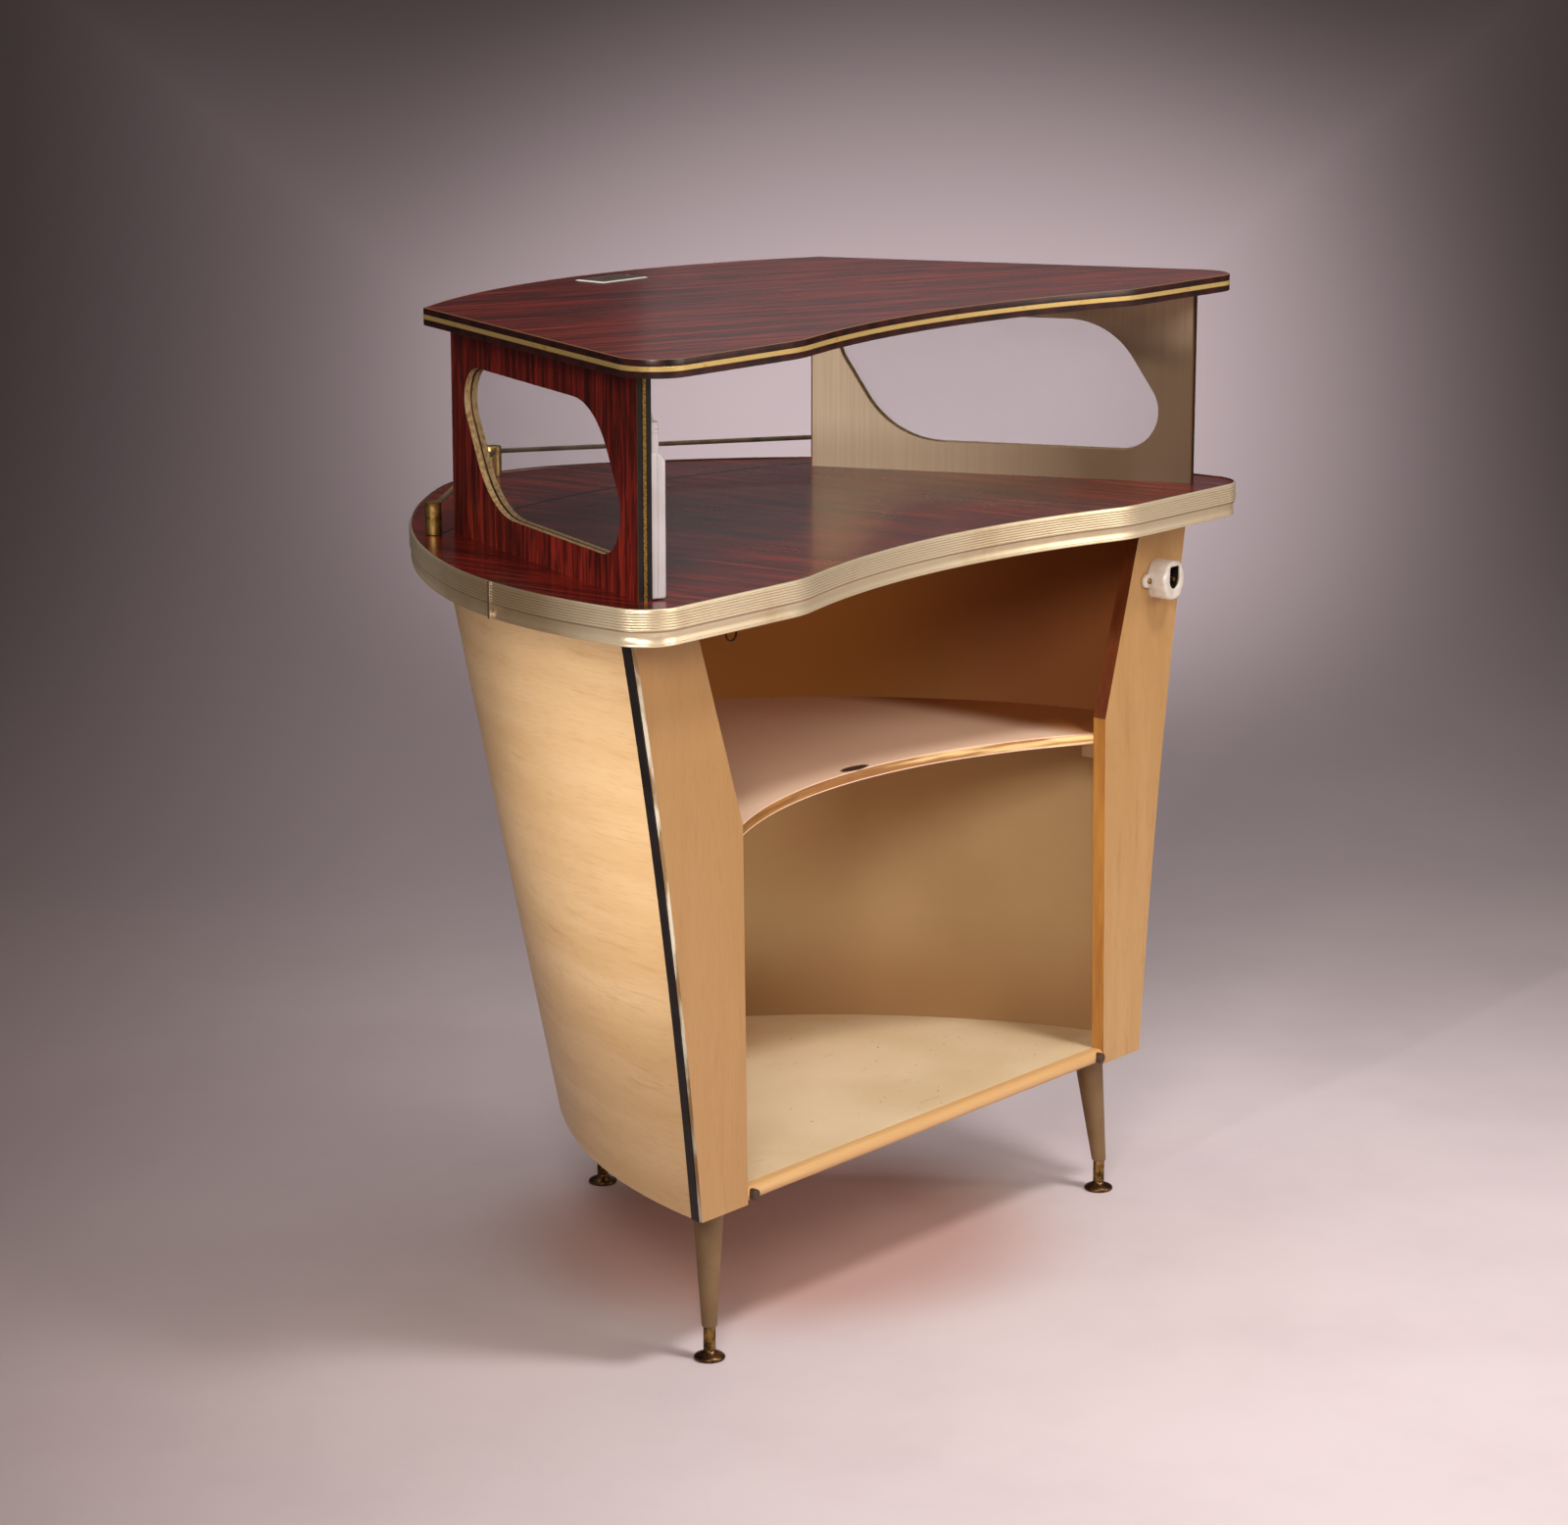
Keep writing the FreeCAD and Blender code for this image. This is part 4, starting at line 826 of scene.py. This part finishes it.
# %% Outline of the counter
counter_top = 916.0
counter_half_width = 577.0
rear_radius, flank_radius, nose_radius = 626.0, 976.0, 241.0
rear_turn = 29.3
side_straight, corner_radius = 24.2, 45.0
scallop_half_width, scallop_depth, blend_radius = 315.0, 49.0, 150.0
rear_centre_x = counter_half_width - rear_radius
flank_offset = (rear_radius - flank_radius) * direction(rear_turn)
flank_x = rear_centre_x + flank_offset[0]
flank_turn = math.degrees(math.acos(-flank_x / (flank_radius - nose_radius)))
bow_depth = flank_offset[1] + (flank_radius - nose_radius) * direction(flank_turn)[1] + nose_radius
half_depth = (bow_depth + side_straight + corner_radius) / 2
side_y = half_depth - bow_depth
lobe_y = -half_depth
scallop_radius = (scallop_half_width ** 2 + scallop_depth ** 2) / (2 * scallop_depth)
scallop_y = lobe_y + scallop_depth - scallop_radius
blend_y = lobe_y + blend_radius
blend_x = math.sqrt((scallop_radius + blend_radius) ** 2 - (blend_y - scallop_y) ** 2)
blend_turn = math.degrees(math.atan2(blend_y - scallop_y, blend_x))
serving_edge = [arc_run((blend_x, blend_y), blend_radius, -90, blend_turn - 180),
                arc_run((0, scallop_y), scallop_radius, blend_turn, 90, -1)]

counter_outline = around([
    arc_run((0, half_depth - nose_radius), nose_radius, 90, flank_turn),
    arc_run((flank_x, side_y + flank_offset[1]), flank_radius, flank_turn, rear_turn),
    arc_run((rear_centre_x, side_y), rear_radius, rear_turn, 0),
    arc_run((counter_half_width - corner_radius, lobe_y + corner_radius), corner_radius, 0, -90, 1, 2.0),
    *serving_edge])
print("counter", 2 * counter_half_width, "by", round(2 * half_depth, 1))

# %% Outline of the top shelf
shelf_top = 1183.5
top_far_inset, top_far_setback, top_far_rise = 210.0, 251.0, 88.0
top_side_angle, top_corner_radius = 21.8, 45.0
top_far_x = counter_half_width - top_far_inset
top_far_y = half_depth - top_far_setback
top_far_radius = (top_far_x ** 2 + top_far_rise ** 2) / (2 * top_far_rise)
top_far_turn = math.degrees(math.asin((top_far_radius - top_far_rise) / top_far_radius))
side_way = direction(top_side_angle)
offset = side_way @ np.array([top_far_x, top_far_y])
top_corner_y = lobe_y + top_corner_radius
top_corner_x = (offset - top_corner_radius - side_way[1] * top_corner_y) / side_way[0]
mitre = direction(top_far_turn) + side_way
mitre /= 1 + direction(top_far_turn) @ side_way
side_run = (np.array([[top_far_x, top_far_y], [top_corner_x, top_corner_y] + top_corner_radius * side_way]),
            np.array([mitre, side_way]))
top_outline = around([
    arc_run((0, top_far_y + top_far_rise - top_far_radius), top_far_radius, 90, top_far_turn),
    side_run,
    arc_run((top_corner_x, top_corner_y), top_corner_radius, top_side_angle, -90, 1, 2.0),
    *serving_edge])
print("top shelf corner at", round(top_far_x, 1), round(top_far_y, 1))

# %% [markdown]
# ## Reeded metal edge of the counter
# The edge is one extrusion bent round the counter: a round bead that stands above the laminate, seven fine
# reeds, a smooth hollow and a small lip that turns under. Its section is drawn once as an array and swept
# round.

# %% Reeded metal edge of the counter
over = np.linspace(0, np.pi, 9)
bead = np.stack([1.6 - 1.6 * np.cos(over), 0.4 + 1.6 * np.sin(over)], axis=1)
fall = np.linspace(0, 1, reed_count * 6 + 1)
ridges = np.abs(np.sin(np.pi * reed_count * fall)) ** 0.6
band = np.stack([3.35 + 0.65 * ridges, -0.6 - 21.2 * fall], axis=1)
dip = np.linspace(0, 1, 22)
hollow = np.where(dip < 0.5, 3.0 * (1 - dip / 0.5) ** 2, 1.9 * ((dip - 0.5) / 0.5) ** 2)
cove = np.stack([0.4 + hollow, -22.4 - 13.8 * dip], axis=1)
under = np.linspace(0.2 * np.pi, np.pi, 7)
lip = np.stack([0.9 + 0.9 * np.sin(under), -38.4 + 1.5 * np.cos(under)], axis=1)
trim_profile = np.concatenate([bead, band, cove, lip, [[0.0, -39.9]]])
piece("counter_reeded_edge", [(sweep(counter_outline, trim_profile, counter_top), True)], trim_finish,
      stands_for=["counter_trim"])

# %% [markdown]
# ## Edge of the top shelf
# The top shelf has a dark edging with a gold stripe let into its middle. Both are swept like the counter's
# edge; the edging's rims are rounded, and a thin groove beside the stripe catches a dark line.

# %% Edge of the top shelf
shelf_edge = [(-3.0, 0.0), (-0.7, 0.0), (-0.2, -0.2), (0.0, -0.7), (0.0, -7.2), (-0.3, -7.5), (-1.2, -7.5),
              (-1.2, -13.0), (-0.3, -13.0), (0.0, -13.3), (0.0, -19.8), (-0.2, -20.3), (-0.7, -20.5),
              (-3.0, -20.5)]
shelf_stripe = [(-1.2, -7.6), (0.15, -7.6), (0.4, -7.9), (0.4, -12.6), (0.15, -12.9), (-1.2, -12.9)]
piece("top_shelf_dark_edge", [(sweep(top_outline, shelf_edge, shelf_top), True)], shelf_edge_finish,
      stands_for=["top_shelf_edging"])
piece("top_shelf_gold_stripe", [(sweep(top_outline, shelf_stripe, shelf_top), True)], stripe_finish,
      stands_for=["top_shelf_gold_inlay"])

# %% [markdown]
# ## Gallery rail
# On the guests' side three brass posts carry two twisted rods, set up like a ship's rail. A rod's section
# has four lobes that turn as they go along it, and each post has a slotted screw in its side that clamps
# the rod.


# %% Twisted rod and slotted screw
def twisted(start, end, radius, pitch, step=0.8, count=30):
    """Four-stranded rod: a ring whose radius swells four times round, turned steadily along its length."""
    length = np.linalg.norm(end - start)
    side, up, along = axes_about(end - start)
    far = np.linspace(0, length, int(length / step))[:, None, None]
    angle = full_turn(count)[None, :, None]
    lobes = np.abs(np.cos(2 * (angle - 2 * np.pi * far / pitch)))
    swell = radius * (0.7 + 0.3 * lobes)
    return start + far * along + swell * (np.cos(angle) * side + np.sin(angle) * up)


def slotted_head(centre, axis, radius, height, slot_turn=0.7):
    """Domed screw head with a driver's slot: a dome that sinks where it is near one line across it."""
    side, up, along = axes_about(axis)
    share = np.concatenate([np.linspace(0.02, 0.92, 16), [1.0, 1.0]])[:, None, None]
    angle = full_turn(72)[None, :, None]
    across = np.abs(share * np.sin(angle - slot_turn))
    slot = 0.45 * np.clip((0.17 - across) / 0.05, 0, 1)
    rise = height * (0.55 + 0.45 * np.sqrt(1 - (0.9 * share) ** 2) - slot)
    rise[-1] = 0.0
    return np.array(centre) + radius * share * (np.cos(angle) * side + np.sin(angle) * up) + rise * along


# %% Posts, screws and rods
post_radius, post_height, rod_radius, rod_drop, rod_pitch = 10.0, 39.0, 3.25, 7.0, 17.0
post_inset, post_setback, nose_setback = 212.0, 258.9, 11.5
rod_inset, screw_drop, screw_sink = 6.0, 17.0, 0.4
post_side = np.array([counter_half_width - post_inset, half_depth - post_setback])
post_nose = np.array([0.0, half_depth - nose_setback])
post_places = {"left": post_side * (-1, 1), "nose": post_nose, "right": post_side}
post_profile = [(9.2, 0.0), (10.0, 0.8), (10.0, 2.2), (9.6, 2.6), (10.0, 3.0), (10.0, 38.0), (9.7, 38.6),
                (9.0, 39.0), (0.4, 39.0)]
screw_shells = []
for side_name, post_place in post_places.items():
    foot = np.array([*post_place, counter_top])
    piece("brass_post_" + side_name, [(turned(post_profile, foot), False)], brass_finish,
          stands_for=["gallery_post_" + side_name])
    out = np.array([post_place[0], post_place[1] - post_nose[1] / 2, 0.0])
    out /= np.linalg.norm(out)
    seat = foot + np.array([0, 0, post_height - screw_drop]) + out * (post_radius - screw_sink)
    screw_shells.append((slotted_head(seat, out, 2.5, 2.6), False))
piece("post_clamp_screws", screw_shells, brass_finish, stands_for=["gallery_post_screws"])
rod_z = counter_top + post_height - rod_drop
for side_name in ("left", "right"):
    span = post_nose - post_places[side_name]
    span /= np.linalg.norm(span)
    begin = np.array([*(post_places[side_name] + rod_inset * span), rod_z])
    end = np.array([*(post_nose - rod_inset * span), rod_z])
    piece("twisted_rod_" + side_name, [(twisted(begin, end, rod_radius, rod_pitch), False)], rod_finish,
          stands_for=["gallery_rod_" + side_name])

# %% [markdown]
# ## Legs and glides
# Each leg is a straight taper that leans outwards, ends in a brass ferrule and stands on a levelling glide.
# A glide's dome and its stem are one turned piece that rides on its own body, because it screws in and out.

# %% Legs and glides
leg_feet = {"left": (-390.0, -312.0, 12.2, 11.3), "right": (390.0, -312.0, -12.2, 11.3)}
leg_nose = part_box("glide_nose")
leg_feet["nose"] = (0.0, (leg_nose[0].y + leg_nose[1].y) / 2 / MM, 0.0, -16.6)
leg_low, leg_high = 39.5, 181.0
glide_profile = [(16.0, 0.0), (17.8, 0.5), (18.5, 1.9), (18.3, 3.4), (17.0, 4.9), (13.9, 6.6), (10.0, 8.2),
                 (7.9, 9.6), (7.1, 10.8), (7.0, 11.9), (3.9, 12.0), (3.9, 34.0)]
ferrule_profile = [(4.4, 12.0), (6.7, 12.0), (7.2, 12.6), (7.2, 18.5), (6.9, 18.8), (6.9, 19.4), (7.2, 19.7),
                   (7.2, 38.9), (6.9, 39.5), (4.4, 39.5)]


def tapered(foot_x, foot_y, lean_x, lean_y):
    """Leaning taper: level circles that widen and shift evenly from the foot up, rounded at the lower rim."""
    share = np.concatenate([[0.0, 0.004, 0.012], np.linspace(0.02, 1.0, 24)])[:, None, None]
    angle = full_turn(64)[None, :, None]
    radius = (9.0 + 9.5 * share) - 1.2 * np.clip(1 - share / 0.012, 0, 1) ** 2
    rise = leg_low + (leg_high - leg_low) * share
    return np.concatenate([foot_x + lean_x * share + radius * np.cos(angle),
                           foot_y + lean_y * share + radius * np.sin(angle), rise + 0 * angle], axis=2)


ferrule_shells = []
for side_name, (foot_x, foot_y, lean_x, lean_y) in leg_feet.items():
    foot = (foot_x, foot_y, 0.0)
    taper = tapered(foot_x, foot_y, lean_x, lean_y)
    piece("tapered_leg_" + side_name, [(taper, False)], leg_finish,
          stands_for=["leg_" + side_name])
    piece("levelling_glide_" + side_name, [(turned(glide_profile, foot), False)], bronze_finish,
          side_name + "_glide", ["glide_" + side_name])
    ferrule_shells.append((turned(ferrule_profile, foot, count=40), True))
piece("leg_ferrule_tubes", ferrule_shells, ferrule_finish, stands_for=["leg_ferrules"])

# %% [markdown]
# ## Front batten and buffers
# Under the opening a pale half-round batten closes the edge of the floor, and two brown buffers stand at
# its ends. The batten's section is a half circle with a flat back, carried straight across.

# %% Front batten and buffers
batten_half, batten_low, batten_high, front_y = 354.4, 186.0, 203.0, -340.8
batten_back, buffer_x, buffer_z = front_y + 18.0, 345.0, 194.5
batten_radius = (batten_high - batten_low) / 2
nose_angle = np.radians(np.linspace(80, -90, 15))
batten_section = np.stack([front_y + batten_radius - batten_radius * np.cos(nose_angle),
                           batten_low + batten_radius + batten_radius * np.sin(nose_angle)], axis=1)
batten_section = np.concatenate([batten_section,
                                 [[batten_back, batten_low], [batten_back, batten_high - 0.8]]])
stations = np.linspace(-batten_half, batten_half, 24)
batten_grid = np.concatenate([np.broadcast_to(stations[:, None, None], (24, len(batten_section), 1)),
                              np.broadcast_to(batten_section[None], (24, len(batten_section), 2))], axis=2)
piece("half_round_batten", [(batten_grid, False)], batten_finish,
      stands_for=["base_front_batten"])

buffer_profile = [(6.7, -3.0), (6.75, 3.6), (6.4, 4.9), (5.2, 5.7), (3.0, 6.0), (0.3, 6.0)]
buffer_shells = [(turned(buffer_profile, (side * buffer_x, front_y - 0.1, buffer_z), (0, -1, 0), 32), False)
                 for side in (-1, 1)]
piece("round_buffers", buffer_shells, brown_finish, stands_for=["base_buffers"])

# %% [markdown]
# ## Switch box
# On the inside of the left panel sits a white switch box in two halves, with a neck, a ribbed gland and a
# push button. It is drawn in the panel's own directions (along it, in from its outer face, up from the
# counter) and then turned into place. The cover's face runs from its rim to the button's hole, so the
# button really passes through.

# %% Rings of the switch box
panel_along = np.array([-math.sin(panel_turn), -math.cos(panel_turn), 0.0])
panel_in = np.array([math.cos(panel_turn), -math.sin(panel_turn), 0.0])
panel_inset, panel_setback = 238.0, 267.0
panel_origin = np.array([-(counter_half_width - panel_inset), half_depth - panel_setback, counter_top])
box_near, box_width, box_low, box_high = 501.0, 46.0, 1.0, 161.0
panel_face, joint_face, cover_face = 16.5, 24.5, 34.5
box_middle = np.array([box_near - box_width / 2, (box_low + box_high) / 2])
button_spot = np.array([box_near - 13.0, 125.0])
shoulder = box_high - 9.0


def on_panel(along, inward, up):
    """Points of the left panel: along it, in from its outer face and up from the counter."""
    along, inward, up = np.broadcast_arrays(along, inward, up)
    return panel_origin + along[..., None] * panel_along + inward[..., None] * panel_in + \
        up[..., None] * np.array([0.0, 0.0, 1.0])


def box_outline(inset):
    """Rounded outline of the box, drawn in by an inset, with a point on each side at the slope's shoulder."""
    half = box_width / 2 - inset
    outline = rounded(2 * half, box_high - box_low - 2 * inset, max(3.0 - inset, 0.4), 6)
    level = shoulder - box_middle[1]
    return np.insert(outline, [12, 24], [[-half, level], [half, level]], axis=0) + box_middle


def box_ring(inset, depth, wall=0.0, top=box_high):
    """Outline of the box at a depth, with the cover's sloping top, or cut off level below that slope."""
    outline = box_outline(inset)
    rise = np.minimum(outline[:, 1], top)
    slope = cover_face - wall - np.clip(rise - shoulder, 0, None)
    return on_panel(outline[:, 0], np.minimum(depth, slope), rise)


def hole_ring(depth, radius):
    """Circle round the button, its points facing those of the box's outline."""
    outline = box_outline(0.0) - button_spot
    way = outline / np.linalg.norm(outline, axis=1)[:, None]
    return on_panel(button_spot[0] + radius * way[:, 0], depth, button_spot[1] + radius * way[:, 1])


# %% Cover of the switch box
wall, hole_radius = 2.0, 4.3
cover_rings = [
    box_ring(0.3, joint_face + 0.2), box_ring(0.0, joint_face + 0.6), box_ring(0.0, cover_face - 2.0),
    box_ring(0.25, cover_face - 0.9), box_ring(0.9, cover_face - 0.25), box_ring(wall, cover_face),
    box_ring(2.4, cover_face, top=shoulder), hole_ring(cover_face, 5.4), hole_ring(cover_face, 4.7),
    hole_ring(cover_face - 0.4, hole_radius), hole_ring(cover_face - wall, hole_radius),
    box_ring(2.4, cover_face - wall, top=shoulder), box_ring(wall, cover_face - wall, wall),
    box_ring(wall, joint_face + 0.2)]
piece("switch_box_front", [(np.stack(cover_rings), True)], white_finish,
      stands_for=["switch_box_cover"])

# %% Tray, gland and button
neck_width, neck_depth, neck_height, neck_setback = 26.0, 12.0, 33.0, 3.0
gland_height, button_depth = 8.0, 30.7
neck_middle = np.array([box_near - neck_setback - neck_width / 2, panel_face + neck_depth / 2])
tray_rings = [box_ring(0.0, panel_face), box_ring(0.0, joint_face - 0.5), box_ring(0.4, joint_face)]
neck_steps = np.concatenate([[0.0, 18.0], 18.0 + np.arange(1, 13) * 1.15, [32.4, neck_height]])
neck_draw = np.concatenate([[0.0, 0.0], np.tile([0.5, 0.5, 0.0, 0.0], 3), [0.0, 0.7]])
neck_rings = []
for rise, draw in zip(neck_steps, neck_draw):
    outline = rounded(neck_width - 2 * draw, neck_depth - 2 * draw, 2.5, 6) + neck_middle
    neck_rings.append(on_panel(outline[:, 0], outline[:, 1], box_high + rise))
piece("switch_box_back", [(np.stack(tray_rings), False), (np.stack(neck_rings), False)], white_finish,
      stands_for=["switch_box_tray"])

gland_foot = on_panel(*neck_middle, box_high + neck_height)
gland_profile = [(4.5, 0.0), (4.5, 1.6), (3.9, 1.8), (3.9, 2.6), (4.3, 2.8), (4.2, 4.2), (3.7, 4.4),
                 (3.7, 5.2), (4.0, 5.4), (3.85, 7.4), (3.2, gland_height), (0.3, gland_height)]
piece("ribbed_gland", [(turned(gland_profile, gland_foot, count=32), False)], white_finish,
      stands_for=["cable_gland"])

button_seat = on_panel(button_spot[0], button_depth, button_spot[1])
button_profile = [(6.4, 0.0), (6.5, 0.3), (6.5, 1.5), (4.0, 1.5), (4.0, 6.2), (3.7, 6.9), (2.6, 7.2),
                  (0.3, 7.3)]
piece("push_button_cap", [(turned(button_profile, button_seat, panel_in, 40), False)], button_finish,
      "push_button", ["switch_button"])

# %% [markdown]
# ## Lamp
# A tube lamp under the top shelf lights the counter: an enamelled base, a frosted tube and a holder at each
# end. The tube is turned about its own axis, and the base and the holders are rounded blocks.

# %% Lamp
shelf_low = 1163.0
lamp_setback, lamp_length, lamp_height, tube_gap, tube_radius = 80.5, 250.0, 16.0, 4.0, 13.0
lamp_y = half_depth - top_far_setback - lamp_setback
lamp_foot = np.array([0.0, lamp_y, shelf_low - lamp_height])
tube_z = shelf_low - lamp_height - tube_gap - tube_radius
housing = block(lamp_length, 38.0, lamp_height, 5.0, 2.0) + lamp_foot
piece("lamp_housing", [(housing, False)], enamel_finish, stands_for=["lamp_base"])
tube_profile = [(1.0, -94.9), (9.0, -94.9), (12.2, -93.0), (tube_radius, -89.0), (tube_radius, 89.0),
                (12.2, 93.0), (9.0, 94.9), (1.0, 94.9)]
piece("lamp_glass_tube", [(turned(tube_profile, (0.0, lamp_y, tube_z), (1, 0, 0)), False)], tube_finish,
      stands_for=["lamp_tube"])
holder_shells = []
for side in (-1, 1):
    holder_foot = np.array([side * 101.0, lamp_y, tube_z - tube_radius])
    holder_shells.append((block(11.9, 25.9, 30.0, 3.0, 1.5) + holder_foot, False))
piece("lamp_end_holders", holder_shells, white_finish, stands_for=["lamp_holders"])

# %% [markdown]
# ## Lamp cable
# A thin cable runs from the switch box up to the shelf and along its underside to the lamp, held by clips.
# A cable is a smooth line, so it is a NURBS curve with a round bevel whose control points are the ends and
# the corner of its route, and one more point on its long run.

# %% Lamp cable
cable_radius, cable_gap, bend_reach = 2.25, 1.6, 72.0
cable_start = on_panel(*neck_middle, box_high + neck_height + gland_height)
cable_corner = np.array([cable_start[0], cable_start[1], shelf_low - cable_gap - cable_radius])
cable_end = np.array([-lamp_length / 2, lamp_y, cable_corner[2]])
cable_way = (cable_end - cable_corner) / np.linalg.norm(cable_end - cable_corner)
route = [cable_start, cable_corner, cable_corner + bend_reach * cable_way, cable_end]
cable_curve = bpy.data.curves.new("lamp_cord", "CURVE")
cable_curve.dimensions = "3D"
cable_curve.bevel_depth = cable_radius * MM
cable_curve.bevel_resolution = 5
cable_curve.use_fill_caps = True
cable_line = cable_curve.splines.new("NURBS")
cable_line.points.add(len(route) - 1)
weighted = np.concatenate([np.stack(route) * MM, np.ones((len(route), 1))], axis=1)
cable_line.points.foreach_set("co", weighted.ravel())
cable_line.order_u = 3
cable_line.use_endpoint_u = True
cable_line.resolution_u = 16
cable_curve.materials.append(cable_finish.material)
cable = bpy.data.objects.new("lamp_cord", cable_curve)
scene.collection.objects.link(cable)
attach(cable, "cabinet")
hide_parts("lamp_cable")
tuple(cable_start * MM)
print("cable points", len(route))

# %% [markdown]
# ## Mains inlet
# A porcelain inlet is screwed to the right stile by two lugs. Its rings go forward over the rounded body,
# turn in at the front rim and run back down the D-shaped mouth, so body and mouth are one skin. Outline and
# mouth are measured along the same rays, which keeps the rings in step.

# %% Rings of the inlet
inlet_x, inlet_z = 466.0, 800.0
stile_foot_y, stile_foot_z, stile_lean = -341.0, 184.0, 10.0 / 705.8
inlet_seat = stile_foot_y + stile_lean * (inlet_z - stile_foot_z)
inlet_front = inlet_seat - 28.0
body_round, mouth_round = 4.0, 1.2
rays = full_turn(120)


def along_rays(outline):
    """Radius of a closed convex outline along evenly spaced rays from its centre."""
    angle = np.unwrap(np.arctan2(outline[:, 1], outline[:, 0])) % (2 * np.pi)
    radius = np.linalg.norm(outline, axis=1)
    order = np.argsort(angle)
    return np.interp(rays, angle[order], radius[order], period=2 * np.pi)


def inlet_ring(radius, depth):
    """Ring of points on the rays, at a depth."""
    return np.stack([inlet_x + radius * np.cos(rays), np.full_like(rays, depth),
                     inlet_z + radius * np.sin(rays)], axis=1)


# %% Mains inlet
body_radius = along_rays(rounded(34.0, 48.0, 9.0, 24))
curve_angle = np.radians(np.linspace(180, 360, 40))
mouth_outline = np.concatenate([11.0 * np.stack([np.cos(curve_angle), np.sin(curve_angle)], axis=1),
                                np.stack([np.full(12, 11.0), np.linspace(1.0, 15.0, 12)], axis=1),
                                np.stack([np.linspace(8.5, -8.5, 16), np.full(16, 17.8)], axis=1),
                                np.stack([np.full(12, -11.0), np.linspace(15.0, 1.0, 12)], axis=1)])
mouth_radius = along_rays(mouth_outline)
rim_turn = np.radians(np.linspace(0, 90, 6))
inlet_rings = [inlet_ring(body_radius, inlet_seat - 0.2)]
inlet_rings += [inlet_ring(body_radius - body_round * (1 - math.cos(turn)),
                           inlet_front + body_round * (1 - math.sin(turn))) for turn in rim_turn]
inlet_rings += [inlet_ring(mouth_radius + mouth_round * (1 - math.sin(turn)),
                           inlet_front + mouth_round * (1 - math.cos(turn))) for turn in rim_turn]
inlet_rings.append(inlet_ring(mouth_radius, inlet_seat - 7.0))
lug = block(70.0, 18.0, 5.9, 8.5, 1.8)
lug_grid = np.stack([inlet_x + lug[..., 0], inlet_seat - lug[..., 2], inlet_z + lug[..., 1]], axis=2)
piece("porcelain_inlet", [(np.stack(inlet_rings), False), (lug_grid, False)], porcelain_finish,
      stands_for=["mains_inlet_body"])
lug_screws = [(slotted_head((inlet_x + side * 26.0, inlet_seat - 5.8, inlet_z), (0, -1, 0), 3.5, 2.6), False)
              for side in (-1, 1)]
piece("inlet_lug_screws", lug_screws, brass_finish, stands_for=["mains_inlet_screws"])

# %% [markdown]
# ## Screw eye
# A bent wire eye hangs under the counter, perhaps for a cloth. It is a ring of round section on a stem, so
# one loop of rings and one turned profile make it.

# %% Screw eye
eye_centre = np.array([-392.0, lobe_y + 41.5, 862.0])
eye_radius, wire_radius = 8.7, 1.3
round_eye = full_turn(56)[:, None, None]
round_wire = full_turn(16)[None, :, None]
reach = eye_radius + wire_radius * np.cos(round_wire)
eye_grid = eye_centre + np.concatenate([reach * np.cos(round_eye),
                                        wire_radius * np.sin(round_wire) + 0 * round_eye,
                                        reach * np.sin(round_eye)], axis=2)
stem_profile = [(wire_radius, 0.0), (1.5, 6.0), (1.5, 19.0)]
stem = turned(stem_profile, eye_centre + np.array([0, 0, eye_radius]), count=20)
piece("wire_screw_eye", [(eye_grid, True), (stem, False)], bronze_finish, stands_for=["screw_eye"])

# %% [markdown]
# ## Top plate
# A dark plate is let into the top shelf, inside a white frame that slopes down all round. Only the frame
# catches the light from the front, so the two are separate pieces with their own finishes.

# %% Top plate
plate_setback, plate_sink, plate_excess, plate_corner = 54.7, 2.0, 35.5, 2.0
plate_y = half_depth - top_far_setback + top_far_rise - plate_setback
plate_foot = np.array([0.0, plate_y, shelf_top - plate_sink])
frame_section = [(84.0, 0.0), (84.0, 2.0), (77.6, 3.0), (77.4, 3.0), (77.4, 0.0)]
frame_rings = [raised(rounded(length, length - plate_excess, plate_corner), rise)
               for length, rise in frame_section]
piece("plate_white_frame", [(np.stack(frame_rings) + plate_foot, True)], rim_finish,
      stands_for=["top_window_plate"])
dark_face = block(77.3, 41.8, 2.98, plate_corner, 0.1) + plate_foot
piece("plate_dark_face", [(dark_face, False)], plate_finish)
